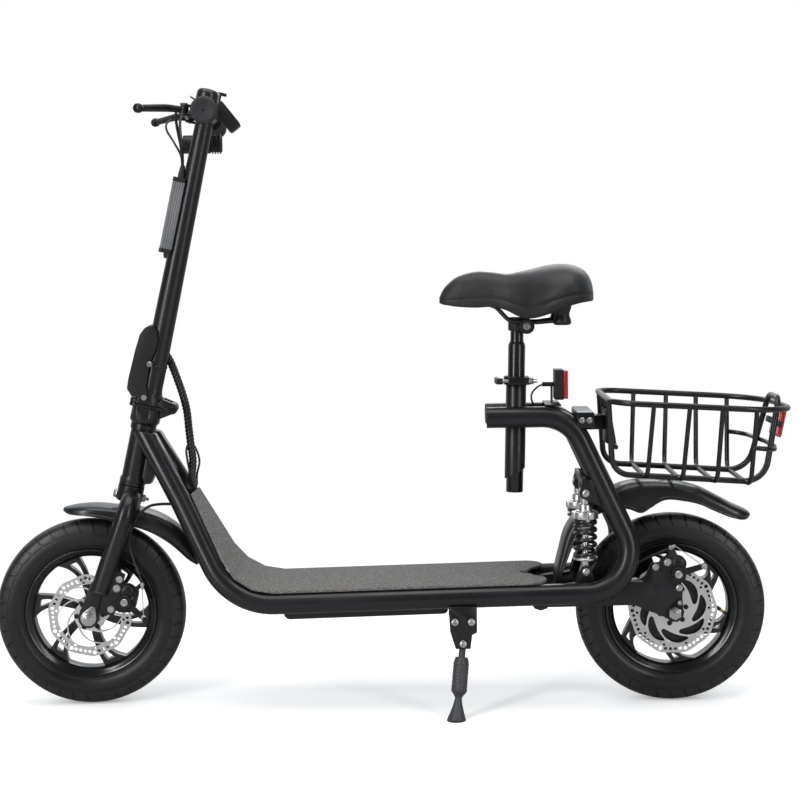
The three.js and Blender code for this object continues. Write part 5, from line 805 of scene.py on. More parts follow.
# Front axle and disc brake: a hex nut over a tear-drop washer at each dropout, and a black
# cable-pulled caliper whose arm is drawn by the cable.
dressed("front_axle", "fork", bright_zinc, 0.0008, 2, 25, 40)
tear_drop = wrapped((-23.3, 0, 13), (-19.6, 17.5, 4.2))
for name, low, high in (("tear_drop_washer", 60.05, 61.7), ("far_washer", -61.7, -60.05)):
    settle(plate(name, [tear_drop], low, high, head_side, 0.0004), "fork", bright_zinc)

caliper_black = finish("caliper_black", "caliper_black", (0.008, 0.008, 0.0085), 0.33, metal=0.2, scale=800,
                       depth=0.00005, worn=0.5, worn_colour=(0.1, 0.1, 0.1))
dressed("front_caliper", "fork", caliper_black, 0.0014, 3, 25, 40)
dressed("front_caliper_arm", "front_caliper_arm", caliper_black, 0.0010, 2, 25, 40)


def caliper_trim(name, axes, x, z, arm_body, body):
    """The round boss and bright bolt on the arm, and the lobe, screws and adjuster of the caliper."""
    settle(turned(f"{name}_arm_boss", [
        [0, 0], [11, 0], [11.8, 0.8], [11.8, 8.2], [11, 9], [8.4, 9.2], [7.8, 8.6], [0, 8.6]],
        facing(axes, x, z, 60.4), 40), arm_body, caliper_black)
    settle(turned(f"{name}_pivot_bolt", [
        [0, 0.3], [2.5, 0.3], [2.7, 2.4], [3.3, 2.9], [5.4, 2.7], [6.4, 1.8], [6.4, 0], [0, 0]],
        facing(axes, x, z, 68.9), 36), arm_body, bright_zinc)
    lobe = turned(f"{name}_lobe", [
        [0, 0], [11.6, 0], [13, 1.4], [13, 15], [12.2, 17.6], [10, 19.6], [6, 20.6], [0, 21]],
        facing(axes, x + 1.6, z + 15.4, 42.5), 44, False, 50)
    bridge = plate(f"{name}_bridge", [wrapped((-20, 10, 6), (-16, 24, 6), (-4, 18, 9), (0, 2, 10))], 48, 60.2,
                   facing(axes, x, z, 0), 0.0018, 3)
    knob = turned(f"{name}_adjuster", [
        [0, 3.3], [8.5, 3.3], [9.5, 2.3], [9.5, 1.7], [8.6, 1.4], [8.6, 0.8], [9.5, 0.4], [9.5, 0], [0, 0]],
        facing(axes, x - 4, z - 1, 24.2), 30)
    settle(joined(f"{name}_housing_trim", lobe, bridge, knob), body, caliper_black)
    trims = [hex_head("trim_bolt", facing(axes, x - 17, z + 19, 60), 5.6, 3.4)]
    for dx, dz in ((6, -7), (10, 8)):
        trims.append(button_screw(facing(axes, x + dx, z + dz, 59.7), 3.0, 1.8, 16))
    settle(joined(f"{name}_screws", *trims), body, bright_zinc)


caliper_trim("front_brake", head_side, 53.1 - 23.3, 39.9, "front_caliper_arm", "fork")
cable_skin = finish("cable_rubber", "cable_rubber", (0.009, 0.009, 0.0095), 0.4, scale=1800, depth=0.00004,
                    mottle=0.2)


def cable(name, route, radius, steps=12, place=spot):
    """A cable laid along points given in millimetres."""
    return tube(name, [place(*point) for point in curved(route, 8, closed=False)], radius / 1000, steps, False, 60)


front_hose = cable("front_brake_hose", [(150, -14, 341), (124, -18, 342), (104, -30, 339), (87.4, -44.6, 322),
                                        (74.3, -47.8, 289), (82, -52, 254), (92, -60, 232), (97, -62, 217)], 2.4)
ferrule = turned("cable_ferrule", [[0, 0], [3.2, 0], [3.4, 1], [3.4, 12], [2.6, 13.5], [0, 13.5]],
                 standing(spot(92.4, -60.2, 231), spot(82, -52, 254) - spot(92, -60, 232)), 20)
settle(joined("front_brake_line", front_hose, ferrule), "fork", cable_skin, "front_brake_cable")
hose_end = spot(97, -62, 217)
wire_end = head_side @ Vector((0.0663, 0.0199, 0.0668))
settle(turned("front_hose_stop", [[0, 0], [3.2, 0], [3.8, 0.8], [3.8, 5], [2.8, 6], [2.8, 10], [1.4, 11.4], [0, 11.4]],
              standing(hose_end, wire_end - hose_end), 20), "fork", bright_zinc)


def pull_wire(name, start, end):
    """The bare wire between the hose and the arm."""
    wire = tube(name, [start.lerp(end, k / 12) for k in range(13)], 0.0008, 8, False, 60)
    wire.data.materials.append(bright_zinc)
    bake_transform(wire)


pull_wire("front_brake_wire", hose_end, wire_end)
settle(hex_head("front_wire_clamp", facing(head_side, 66.3, 19.9, 65.0), 4.4, 3.4), "front_caliper_arm", bright_zinc)


# Stem: a steel tube that swells to a pressed flange at its foot, where it folds on a pin
# behind it. The base below carries the matching flange and turns on the steerer.
def flattened(piece):
    """The front of the joint is ground flat on both sides, where the lever's cheeks swing."""
    for vertex in piece.data.vertices:
        x, y, z = (1000 * c for c in vertex.co)
        if x < 7.5 and 348 < z < 433 and abs(y) > 19.2:
            vertex.co.y = math.copysign(0.0192, y)
    piece.data.transform(steering)
    return piece


flange = slab(-20, -8.6, 24, 8.6, 10)
upright = Matrix.Identity(4)
base_core = flattened(turned("base_core", [
    [14.4, 352.4], [14.4, 331.7], [21.5, 331.7], [22.4, 333], [25, 336.4], [25, 350], [25, 354], [25, 359],
    [14.4, 359]], upright, 96, True, 45))
base_plate = plate("base_flange", [flange], 359, 365.3, steering, 0.0012, 3)
knuckle = plate("knuckle", [wrapped((42, 367, 9), (22, 348, 4), (25, 359.5, 5))], -10, 10, head_side, 0.0010)
fold_pin = across("fold_pin", 42, 367, [
    [0, -25.4], [3.2, -25.4], [4.2, -24.6], [4.2, -24], [7.4, -24], [7.6, -23.4], [7.6, -21.6], [4, -21.6],
    [4, 21.6], [7.6, 21.6], [7.6, 23.4], [7.4, 24], [4.2, 24], [4.2, 24.6], [3.2, 25.4], [0, 25.4]])
settle(joined("stem_base_casting", base_core, base_plate, knuckle), "fork", satin_black, "stem_base")
settle(fold_pin, "fork", black_screw)

stem_core = flattened(turned("stem_core", [
    [0, 366], [26, 366], [26, 368], [25.6, 373], [25, 377.5], [23.4, 381], [20.9, 383.4], [20.2, 386],
    [19.4, 389.6], [19, 393], [19, 429.4], [19.7, 430], [19.7, 433], [19, 433.6], [18.6, 480], [18.2, 540],
    [18, 560], [17.4, 620], [16.4, 720], [15.2, 810], [14.7, 846], [0, 846]], upright, 96, False, 45))
stem_plate = plate("stem_flange", [flange], 365.7, 372, steering, 0.0012, 3)
ear = wrapped((42, 367, 9), (26, 373.5, 6), (22, 370.5, 4))
ears = [plate("fold_ear", [ear], low, high, head_side, 0.0010) for low, high in ((10.5, 21), (-21, -10.5))]
clamp = across("bar_clamp", 0, 860, [[11.8, -20], [16.8, -20], [18, -19], [18, 19], [16.8, 20], [11.8, 20]])
stop = across("safety_pin", 2, 429, [[0, 25.6], [3.6, 25.6], [4.4, 24.8], [4.4, 17], [0, 17]])
lever_pin = across("lever_pin", -7.5, 377, [[0, -24], [4.6, -24], [5, -23.4], [5, -22.2], [3, -22.2], [3, 22.2],
                                           [5, 22.2], [5, 23.4], [4.6, 24], [0, 24]])
settle(joined("stem_body", stem_core, stem_plate, *ears, clamp, stop), "stem", satin_black, "stem_tube")
settle(lever_pin, "stem", bright_zinc)
clamp_screws = [button_screw(steering @ Matrix.Translation((0.0172, side * 0.012, 0.858))
                             @ Matrix.Rotation(math.radians(90), 4, "Y"), 3.6, 2.6, 20) for side in (-1, 1)]
settle(joined("bar_clamp_screws", *clamp_screws), "stem", black_screw)
dressed("fold_lever", "fold_lever", moulded_black, 0.0052, 5, 22, 60)
settle(hex_head("lever_catch", facing(head_side, -9, 434.2, 25.4), 4.4, 4.0), "fold_lever", bright_zinc)

# Controller: an extruded and finned dark grey alloy box on the front of the stem, closed
# with two black moulded caps. The leads leave it below.
fins = []
fin_pitch = 42 / 9
for i in range(9):
    foot = -21 + fin_pitch * i
    fins += [(-28, foot), (-28, foot + 0.34 * fin_pitch), (-31, foot + 0.42 * fin_pitch),
             (-31, foot + 0.92 * fin_pitch)]
fins.append((-28, 21))
cheek = [(back + step, 21 - deep) for back in (-25.6, -21.8, -18, -14.2)
         for step, deep in ((0, 0), (0.3, 0.9), (1.3, 0.9), (1.6, 0))]
outline = [*fins, *cheek, (-11.6, 21), (-10.5, 19.4), (-10.5, -19.4), (-11.6, -21),
           *[(back, -out) for back, out in cheek[::-1]]]
fin_grey = finish("fin_grey", "controller_grey", (0.20, 0.205, 0.215), 0.42, metal=0.5, depth=0.00006, worn=0.5,
                  worn_colour=(0.24, 0.24, 0.25))
settle(plate("controller_fins", [outline], 627, 740, steering, 0.0002, 1), "stem", fin_grey, "controller_box")
for name, low, high in (("lower", 620, 627.4), ("upper", 739.6, 747)):
    cap = plate(f"controller_{name}_cap", [slab(-27.6, -17.6, -14.5, 17.6, 4)], low, high, steering, 0.0012, 3)
    settle(cap, "stem", moulded_black)
glands = [turned("gland", [[0, 0], [5, 0], [5.4, 1], [5.4, 5], [4.2, 7], [3.8, 9.4], [0, 9.4]],
                 steering @ Matrix.Translation((-0.019, y, z)) @ Matrix.Rotation(turn, 4, "X"), 24)
          for y, z, turn in ((0.008, 0.6205, math.pi), (-0.008, 0.7465, 0.0))]
settle(joined("controller_glands", *glands), "stem", cable_skin)

# Handlebar: a slim alloy bar through the clamp, swept slightly back, with ribbed rubber
# grips that end in round discs. The right grip is the twist throttle.
bar_half, bar_bend, bar_height = 216, 70, 860


def bar_end(side):
    return Vector(((bar_half - bar_bend) * math.tan(math.radians(3)), side * bar_half, 851))


def on_bar(y):
    share = max((abs(y) - bar_bend) / (bar_half - bar_bend), 0)
    side = math.copysign(1, y)
    return Vector((0, side * bar_bend, bar_height)).lerp(bar_end(side), share)


anodised = finish("black_anodised", "bar_alloy", (0.010, 0.010, 0.011), 0.3, metal=0.5, scale=1400, depth=0.00001,
                  mottle=0.08, worn=0.3)
bar_points = rounded([head(*bar_end(-1)), head(0, -bar_bend, bar_height), head(0, bar_bend, bar_height),
                      head(*bar_end(1))], [0.06, 0.06], 1)
settle(eased(tube("bar_tube", bar_points, 0.011, 32), 0.0008, 2, 60, 50), "stem", anodised, "handlebar")
grip_rubber = finish("grip_rubber", "grip_rubber", (0.022, 0.022, 0.025), 0.58, scale=1500, depth=0.00012,
                     mottle=0.18)
for side, body, solid in ((-1, "stem", "grip_left"), (1, "throttle", "throttle_grip")):
    inward = head(0, side * bar_bend, bar_height) - head(*bar_end(side))
    profile = [[0, -0.6], [1.5, -0.6], [1.8, -2.9], [12.6, -3.1], [13.6, -3.9], [18.4, -3.9], [19.6, -3.3],
               [20, -2.4], [20, -0.4], [19.2, 0.4], [17.4, 0.8]]
    for i in range(26):
        start = 3 + i * 3.9
        profile += [[17.2, start], [17.9, start + 0.7], [18, start + 1.9], [17.2, start + 2.6], [16.7, start + 3.1]]
    profile += [[17.6, 106], [18, 109], [21.4, 112.4], [22.5, 113.4], [22.5, 117], [21.8, 118], [11.6, 118]]
    grip = turned(f"{solid}_sleeve", profile, standing(head(*bar_end(side)), inward), 48, False, 50)
    settle(grip, body, grip_rubber, solid)

# Brake levers: black cast perches clamped on the bar, with a curved blade on an upright
# pin that ends in a safety ball.
for label, side in sides.items():
    dressed(f"brake_perch_{label}", "stem", caliper_black, 0.0008, 2, 25, 45)
    middle = on_bar(side * 90)
    foot = Vector((-30, middle.y, middle.z - 6))
    tip = Vector((-93.8, side * 168, 860 - 24.6))
    reach = tip - foot
    bend = foot + Vector((reach.x * 0.42, reach.y * 0.2, reach.z * 0.25))
    path = rounded([foot, bend, tip], [30], 5)
    points = [point / 1000 for point in path[:-1]] + [path[-2].lerp(path[-1], 0.84) / 1000]
    blade = tube("blade", points, 0.0050, 20)
    run = path[-1] - path[0]
    for vertex in blade.data.vertices:
        share = min(max((1000 * vertex.co - path[0]).dot(run.normalized()) / run.length, 0), 1)
        middle_z = path[0].lerp(path[-1], share).z / 1000
        vertex.co.z += (vertex.co.z - middle_z) * 0.3 * math.sin(math.pi * min(share, 0.86))
    blade.data.transform(steering)
    tip_place = steering @ standing(tip / 1000, path[-1] - path[-2])
    neck = turned(f"lever_neck_{label}", [[0, -22], [4.9, -22], [4.6, -16], [3.6, -9], [3.3, -5], [0, -5]],
                  tip_place, 24)
    boss = turned("lever_boss", [[0, -5], [6.4, -5], [7, -4.4], [7, 4.4], [6.4, 5], [0, 5]],
                  steering @ Matrix.Translation(foot / 1000), 32)
    ball = turned("safety_ball", [[0, -6.4], [4, -6.2], [6.6, -5], [7.4, -3], [7.6, 0], [7.4, 3], [6.6, 5],
                                  [4, 6.2], [0, 6.4]], tip_place, 32, False, 60)
    lever_body = f"brake_lever_{label}"
    settle(joined(f"brake_blade_{label}", blade, boss, ball), lever_body, caliper_black, lever_body)
    settle(neck, lever_body, bright_zinc)
    barrel_foot = head(-34, side * 79, 851)
    settle(turned(f"cable_barrel_{label}", [
        [0, 0], [3.6, 0], [4.2, 1], [4.2, 5], [3.4, 6], [3.4, 12], [2.8, 13], [0, 13]],
        standing(barrel_foot, head(-43, side * 72, 850) - barrel_foot), 20), "stem", bright_zinc)
    top = steering @ Matrix.Translation((foot.x / 1000, foot.y / 1000, (foot.z + 10.3) / 1000))
    settle(button_screw(top, 3.4, 2, 18), "stem", bright_zinc)

# Bell, display and key: a domed bell on the left, and on the right a slanted display
# housing with a smoked window, a key lock and its key.
dome = turned("bell_dome", [
    [0, 872.4], [15, 872.4], [17.4, 873.4], [18.4, 875], [18.5, 877], [18.5, 887], [18, 890], [16.6, 892.8],
    [14, 894.8], [10.6, 895.8], [4, 896], [3.4, 896.6], [0, 896.8]],
    steering @ Matrix.Translation((0, -0.050, 0)), 64)
band = across("bell_band", 0, 860, [[11.8, 42], [14, 42], [14.4, 42.6], [14.4, 57.4], [14, 58], [11.8, 58]])
settle(joined("bell_body", dome, band), "stem", gloss_moulding, "bell")
settle(tube("bell_striker", [head(-12, -40, 874), head(-22, -44, 876), head(-27, -52, 878)], 0.0016, 10), "stem",
       bright_zinc)
dressed("display_unit", "stem", moulded_black, 0.0016, 3, 25, 45)
screen_place = (steering @ Matrix.Translation((0.031, 0.056, 0.864)) @ Matrix.Rotation(math.radians(39), 4, "Y")
                @ Matrix.Translation((0, 0, 0.0109)))
smoked = finish("smoked_window", "gloss_plastic_black", (0.012, 0.013, 0.016), 0.1, scale=400, depth=0.000005,
                mottle=0.1, spread=0.02, coat=0.6)
settle(plate("display_window", [slab(-17, -13, 17, 13, 3)], 0, 0.5, screen_place, 0.0002, 2), "stem", smoked)
lock_ring = turned("lock_ring", [[3.6, 886.6], [7.4, 886.6], [7.8, 887.4], [7.8, 885], [3.6, 885]],
                   steering @ Matrix.Translation((0.013, 0.056, 0)), 36, True)
settle(lock_ring, "stem", bright_zinc)
dressed("ignition_key", "key", black_screw, 0.0006, 2, 25, 40)

# Headlight: a torch-shaped black lamp that hangs under the bar, with a bright reflector
# behind a clear front glass and cooling rings round its back.
bracket_place = (steering @ Matrix.Translation((0.001, 0.056, 0.811))
                 @ Matrix.Rotation(math.radians(-head_lean), 4, "Y"))
light_place = bracket_place @ Matrix.Rotation(math.radians(90), 4, "Y")
shell = [[0, -29], [12.6, -29], [12.8, -33], [14.4, -33], [15.4, -32], [15.5, -24], [15.5, 13]]
for i in range(4):
    start = 14 + 4.2 * i
    shell += [[13.4, start], [13.4, start + 1.4], [16.4, start + 1.9], [16.4, start + 3.6]]
shell += [[13.6, 31.6], [12.4, 33], [0, 33]]
housing = turned("lamp_shell", shell, light_place, 56, False, 40)
hanger = plate("lamp_hanger", [slab(-8, -7, 4, 7, 2)], 13, 32, bracket_place, 0.0008)
settle(joined("headlight_body", housing, hanger), "stem", moulded_black, "headlight")
glass = finish("lamp_glass", "bright_steel", (0.72, 0.74, 0.76), 0.08, metal=0.85, scale=500, depth=0.00001,
               mottle=0.08, spread=0.03)
settle(turned("headlight_glass", [[0, -29.4], [5, -29.6], [10, -30.2], [12.4, -30.8], [12.5, -29], [0, -28.8]],
              light_place, 48), "stem", glass)

# Leads: two brake cables loop from the levers into the stem, held by a tie, and a bound
# loom of three strands with two thin leads runs from the stem down between the rails.
bar_lines = [cable("bar_cable", [(-41, side * 73.3, 850.3), (-44, side * 60, 843), (-39, side * 38, 824),
                                 (-29, side * 17, 797), (-22, side * 4, 771), (-20, side * 2, 758)], 2.4, 12,
                   head) for side in (-1, 1)]
bar_lines.append(cable("switch_lead", [(-36, 76, 846), (-54, 58, 842), (-63, 38, 833), (-60, 20, 820),
                                       (-44, 8, 803), (-28, 3, 784), (-22, 0, 766), (-20.5, 0, 756)], 1.8, 10,
                       head))
boot = turned("cable_boot", [[0, 748], [5.2, 748], [5.4, 752], [4.4, 764], [3.6, 768], [0, 768]],
              steering @ Matrix.Translation((-0.0205, 0, 0)), 24)
settle(joined("bar_cable_pair", *bar_lines, boot), "stem", cable_skin, "bar_cables")

loom_skin = finish("loom_sleeve", "cable_rubber", (0.008, 0.008, 0.0085), 0.26, scale=1800, depth=0.00003,
                   mottle=0.2)
loom_route = [(132, 6, 597), (137, 9, 589), (142.6, 11.2, 577), (151, 14, 553), (160, 16, 524), (166, 18, 496),
              (168.5, 20, 464), (171, 20, 440), (175, 14, 412), (174, 6, 386), (178, 3, 369)]
loom_line = [spot(*point) for point in curved(loom_route, 18, closed=False)]
twist_length, twist_radius = 0.019, 0.0034
lengths = [0.0]
for before, after in zip(loom_line, loom_line[1:]):
    lengths.append(lengths[-1] + (after - before).length)
strands = []
for k in range(3):
    path = []
    for i, point in enumerate(loom_line):
        way = (loom_line[min(i + 1, len(loom_line) - 1)] - loom_line[max(i - 1, 0)]).normalized()
        first = way.cross(Vector((0, 1, 0))).normalized()
        second = way.cross(first)
        turn = 2 * math.pi * (lengths[i] / twist_length + k / 3)
        path.append(point + twist_radius * (math.cos(turn) * first + math.sin(turn) * second))
    strands.append(tube("loom_strand", path, 0.0036, 12, False, 60))
loom = settle(joined("loom_strands", *strands), "frame", loom_skin, "loom")
loom_foot = spot(*loom_route[-1])
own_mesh(loom)
for k, (dx, dy) in enumerate(((-9, -6), (9, 7))):
    lead = cable(f"thin_lead_{k + 1}", [(170, 20, 446), (171.6 + dx * 0.8, 19 + dy, 430), (176 + dx, 14 + dy, 410),
                                        (177 + dx * 0.5, 6 + dy, 388), (180 + dx * 0.2, 3 + dy, 371)], 1.9)
    settle(lead, "frame", cable_skin)

# Rear arm: two welded box arms on a sleeve round the pivot pin, with dropout plates for the
# motor's axle and forked feet for the shock absorbers.
dressed("pivot_bridge", "frame", satin_black, 0.0008, 2, 30, 45)
dressed("swingarm", "swingarm", satin_black, 0.0016, 3, 28, 45)
shock_x, shock_low_z, shock_high_z = 832, 231.5, 361
pivot_heads = [hex_head("pivot_head", facing(level_side, 757, 186, 81.5, side), 6.8, 2.6) for side in (-1, 1)]
settle(joined("pivot_nuts", *pivot_heads), "frame", black_screw)
arm_bolts = [hex_head("dropout_bolt", facing(level_side, x, z, 61.9), 5.0, 2.8)
             for x, z in ((947.5, 236), (986.5, 201))]
arm_bolts += [hex_head("shock_foot_bolt", facing(level_side, shock_x, shock_low_z, 74.3, side), 5.4, 2.6)
              for side in (-1, 1)]
settle(joined("rear_arm_bolts", *arm_bolts), "swingarm", bright_zinc)

# Rear axle and disc brake: a hex nut on a wide washer, and the caliper on its plate.
dressed("rear_axle", "swingarm", bright_zinc, 0.0008, 2, 25, 40)
for label, side in sides.items():
    settle(turned(f"axle_washer_{label}", [[0, 0], [12, 0], [12.2, 0.4], [12, 1.8], [0, 1.8]],
                  facing(level_side, wheelbase, tyre_radius, 59.05, side), 40), "swingarm", bright_zinc)
dressed("rear_caliper", "swingarm", caliper_black, 0.0014, 3, 25, 40)
dressed("rear_caliper_arm", "rear_caliper_arm", caliper_black, 0.0010, 2, 25, 40)
caliper_trim("rear_brake", level_side, 984.3, 224.5, "rear_caliper_arm", "swingarm")
rear_hose = cable("rear_brake_hose", [(858, -50, 200), (872, -54, 214), (893, -58, 230), (920, -61, 245),
                                      (946, -62, 257), (971, -62, 267.5)], 2.4)
holder = plate("hose_holder", [wrapped((972.6, 268.6, 4), (979, 252, 6), (973, 246, 5))], 55, 60, level_side, 0.0010)
settle(joined("rear_brake_line", rear_hose, holder), "swingarm", cable_skin)
settle(turned("hose_stop", [[0, 0], [3.4, 0], [4, 0.8], [4, 5], [3, 6], [3, 11], [1.4, 12.4], [0, 12.4]],
              standing(spot(969, -62, 266.8), spot(971, -62, 267.5) - spot(946, -62, 257)), 20), "swingarm",
       bright_zinc)
pull_wire("rear_brake_wire", spot(980, -62, 270.6), spot(1026, -70.4, 237.6))
settle(hex_head("wire_clamp", facing(level_side, 1026.3, 237.6, 68.9), 4.4, 3.6), "rear_caliper_arm", bright_zinc)
lock_tab = plate("axle_lock_tab", [wrapped((wheelbase, tyre_radius, 12.6), (987.4, 175.6, 5.4))], 60.6, 62,
                 level_side, 0.0004)
settle(lock_tab, "swingarm", black_screw)
tab_screw = button_screw(facing(level_side, 987.4, 175.6, 61.9), 4.2, 2.4, 24)
tab_screw.name = "axle_lock_screw"
settle(tab_screw, "swingarm", bright_zinc)

# Shock absorbers: a polished body with a notched preload collar above, a black coil spring
# and a bright seat plate below, bolted between the ears of the frame and of the rear arm.
dressed("shock_bridge", "frame", satin_black, 0.0012, 2, 28, 45)
polished = finish("polished_alloy", "bright_steel", (0.66, 0.66, 0.66), 0.33, metal=1.0, scale=500, depth=0.00001,
                  mottle=0.06, spread=0.05)
spring_black = finish("spring_enamel", "spring_steel", (0.014, 0.014, 0.015), 0.25, scale=700, depth=0.00001,
                      mottle=0.1, coat=0.4)
coil_turns, coil_radius, flat_low, flat_high = 5.75, 16.8, 0.6, 5.15
for label, side in sides.items():
    y = side * 60
    stand = Matrix.Translation(spot(shock_x, y, 0))
    barrel = turned("shock_barrel", [
        [5.4, 300], [12.4, 300], [13.2, 301], [13.2, 318.2], [11.5, 318.2], [11.5, 330], [14.6, 330.2],
        [14.8, 331.4], [12, 332.4], [11.5, 334], [11.5, 340], [9.4, 342.6], [8, 343.4], [8, 352], [0, 352],
        [0, 340], [5.4, 340]], stand, 48, False, 40)
    notched = [polar(19.6 if min((6 * k) % 72, 72 - (6 * k) % 72) < 7 else 22, 6 * k) for k in range(60)]
    collar = plate("preload_collar", [notched, [polar(11, 15 * k) for k in range(24)]], 318.2, 329.8, stand,
                   0.0008, 2)
    eye = turned("upper_eye", [[5.6, -8], [9.8, -8], [10.5, -7.3], [10.5, 7.3], [9.8, 8], [5.6, 8]],
                 facing(level_side, shock_x, shock_high_z, -y), 40, True)
    settle(joined(f"shock_{label}_upper_body", barrel, collar, eye), f"shock_{label}_upper", polished,
           f"shock_{label}_body")
    rod = turned("shock_rod", [
        [0, 235], [7.5, 235.4], [7.5, 249], [8.4, 249.8], [20, 250], [21, 250.8], [21, 253.2], [20.2, 254],
        [14, 254], [13, 257], [5.4, 257.4], [5, 258], [5, 308], [0, 308]], stand, 48, False, 40)
    low_eye = turned("lower_eye", [[6.4, -8], [8.8, -8], [9.5, -7.3], [9.5, 7.3], [8.8, 8], [6.4, 8]],
                     facing(level_side, shock_x, shock_low_z, -y), 40, True)
    settle(joined(f"shock_{label}_lower_rod", rod, low_eye), f"shock_{label}_lower", polished,
           f"shock_{label}_rod")
    coil = []
    for k in range(int(coil_turns * 24) + 1):
        turn = k / 24
        rise = (max(turn - flat_low, 0) - max(turn - flat_high, 0)) / (flat_high - flat_low)
        height = 257.7 + 0.9 * turn / coil_turns + 55.6 * rise
        coil.append(spot(*polar(coil_radius, 360 * turn, shock_x, y), height))
    spring = tube(f"shock_{label}_coil", coil, 0.0033, 16, False, 60)
    settle(spring, f"shock_{label}_upper", spring_black, f"shock_{label}_spring")
    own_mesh(spring)
top_bolts = [hex_head("shock_head_bolt", facing(level_side, shock_x, shock_high_z, 74.3, side), 5.4, 2.8)
             for side in (-1, 1)]
settle(joined("shock_top_bolts", *top_bolts), "frame", bright_zinc)

# Seat tube, collar and post: an upright tube between the rails, cut at a slant below, with
# a quick-release collar round its mouth and the telescoping post in it.
post_x, collar_z = 723, 535
post_slope = math.tan(math.radians(1.3))
post_way = Vector((post_slope, 0, 1)).normalized()


def on_post(z, x=0.0, y=0.0):
    return spot(post_x + x + (z - collar_z) * post_slope, y, z)


def post_place(z):
    return standing(on_post(z), post_way)


tube_shell = turned("seat_shell", [[14.8, 0], [17, 0], [17, 176.6], [16.6, 177.4], [14.8, 177.4]],
                    post_place(357.6), 56, True, 50)
edit(tube_shell)
slant = math.atan(18 / 34)
bpy.ops.mesh.bisect(plane_co=on_post(387), plane_no=(math.sin(slant), 0, -math.cos(slant)), use_fill=False,
                    clear_outer=True)
done(outward=False)
cheeks = [plate("cheek", [slab(706, 477, 744, 493, 2)], low, low + 9, level_side, 0.0010) for low in (15.5, -24.5)]
settle(joined("seat_tube_weldment", tube_shell, *cheeks), "frame", satin_black, "seat_tube")
ring = turned("collar_ring", [[14.7, 0.4], [19.8, 0.4], [21, 1.4], [21, 5], [20.2, 6], [20.2, 9], [21, 10],
                              [21, 14], [20, 15], [14.7, 15]], post_place(collar_z), 56, True, 45)
lug = plate("collar_lug", [slab(711, 539, 741, 547.4, 2)], 19, 29, level_side, 0.0010)
settle(joined("collar_casting", ring, lug), "frame", caliper_black, "seat_collar", slot="gloss_plastic_black")
bolt_place = standing(on_post(542.9, 14, -24), (1, 0, 0))
settle(joined("collar_bolt", turned("bolt", [[0, -38], [3, -38], [3, 19], [2.4, 20], [0, 20]], bolt_place, 24),
              hex_head("collar_nut", bolt_place @ Matrix.Translation((0, 0, 0.0055)), 6, 8)), "frame", bright_zinc)
dressed("seat_clamp_lever", "clamp_lever", moulded_black, 0.0018, 3, 25, 45)
post_black = finish("post_gloss_black", "bar_alloy", (0.006, 0.006, 0.0065), 0.22, metal=0.1, depth=0.00001,
                    mottle=0.1, worn=0.3, coat=0.3)
settle(turned("post_tube", [
    [0, 0], [13.6, 0], [14.3, 0.8], [14.3, 246], [13.4, 249.4], [11.6, 252], [11, 256], [11, 267], [11, 293.4],
    [0, 293.4]], post_place(355), 56, False, 45), "seat", post_black, "seat_post")

# Saddle: a moulded foam seat under smooth black cover, narrow in front and broad behind,
# with a crease round its skirt. Two wire rails and rubber bumpers carry it on a clamp.
carriage = []
for side in (-1, 1):
    path = rounded([spot(657.8, side * 8, 676), spot(690, side * 14, 666), spot(712, side * 22, 642),
                    spot(758, side * 22, 640), spot(797, side * 44, 644)], [0.02, 0.02, 0.02], 8)
    carriage.append(tube("saddle_wire", path, 0.0036, 16))
    carriage.append(turned("bumper", [[0, 636], [11.4, 636], [13.8, 637.4], [15, 640], [14.6, 644], [12.4, 650],
                                      [12, 653], [12.6, 657], [15, 664], [15, 668], [0, 668]],
                           Matrix.Translation(spot(797, side * 44, 0)), 40, False, 40))
carriage += [
    plate("bumper_bridge", [slab(791, 648.5, 803, 651.5, 1)], -44, 44, level_side, 0.0008),
    across("rail_clamp", 740, 634, [[0, -29], [11, -29], [13, -27], [13, -18], [11, -16.6], [11, 16.6], [13, 18],
                                    [13, 27], [11, 29], [0, 29]], level_side, 40),
    turned("clamp_socket", [[11.4, 626], [14.4, 626], [15, 627], [15, 647], [14, 648], [11.4, 648]],
           Matrix.Translation((on_post(637).x, on_post(0).y, on_post(0).z)), 40, True, 40),
]
settle(joined("saddle_carriage", *carriage), "seat", moulded_black, "saddle_frame")
clamp_nuts = [hex_head("clamp_nut", facing(level_side, 740, 634, 29, side), 5.6, 5) for side in (-1, 1)]
settle(joined("saddle_clamp_nuts", *clamp_nuts), "seat", bright_zinc)

saddle_rows = [(0, 0.45, 0.37, 0.06), (0.02, 0.56, 0.345, 0.13), (0.055, 0.67, 0.33, 0.19),
               (0.125, 0.8, 0.305, 0.25), (0.24, 0.875, 0.29, 0.3), (0.35, 0.865, 0.3, 0.34),
               (0.44, 0.835, 0.24, 0.42), (0.52, 0.865, 0.14, 0.56), (0.6, 0.905, 0.12, 0.74),
               (0.7, 0.965, 0.19, 0.92), (0.8, 0.99, 0.29, 1), (0.88, 0.96, 0.35, 0.97),
               (0.945, 0.88, 0.375, 0.82), (0.985, 0.74, 0.385, 0.62), (1, 0.57, 0.4, 0.42)]
half_section = [(0, 1), (0.3, 0.985), (0.58, 0.925), (0.82, 0.77), (0.965, 0.53), (1, 0.36), (0.985, 0.27),
                (0.972, 0.25), (0.985, 0.22), (0.99, 0.15), (0.96, 0.02), (0.9, 0.0), (0.8, 0.12), (0.5, 0.2),
                (0, 0.22)]
section = curved([*[(-x, y) for x, y in reversed(half_section[1:-1])], *half_section], 3)


saddle_front, saddle_foot = 595.8, 636
saddle_length, saddle_half, saddle_height = 253, 102, 102


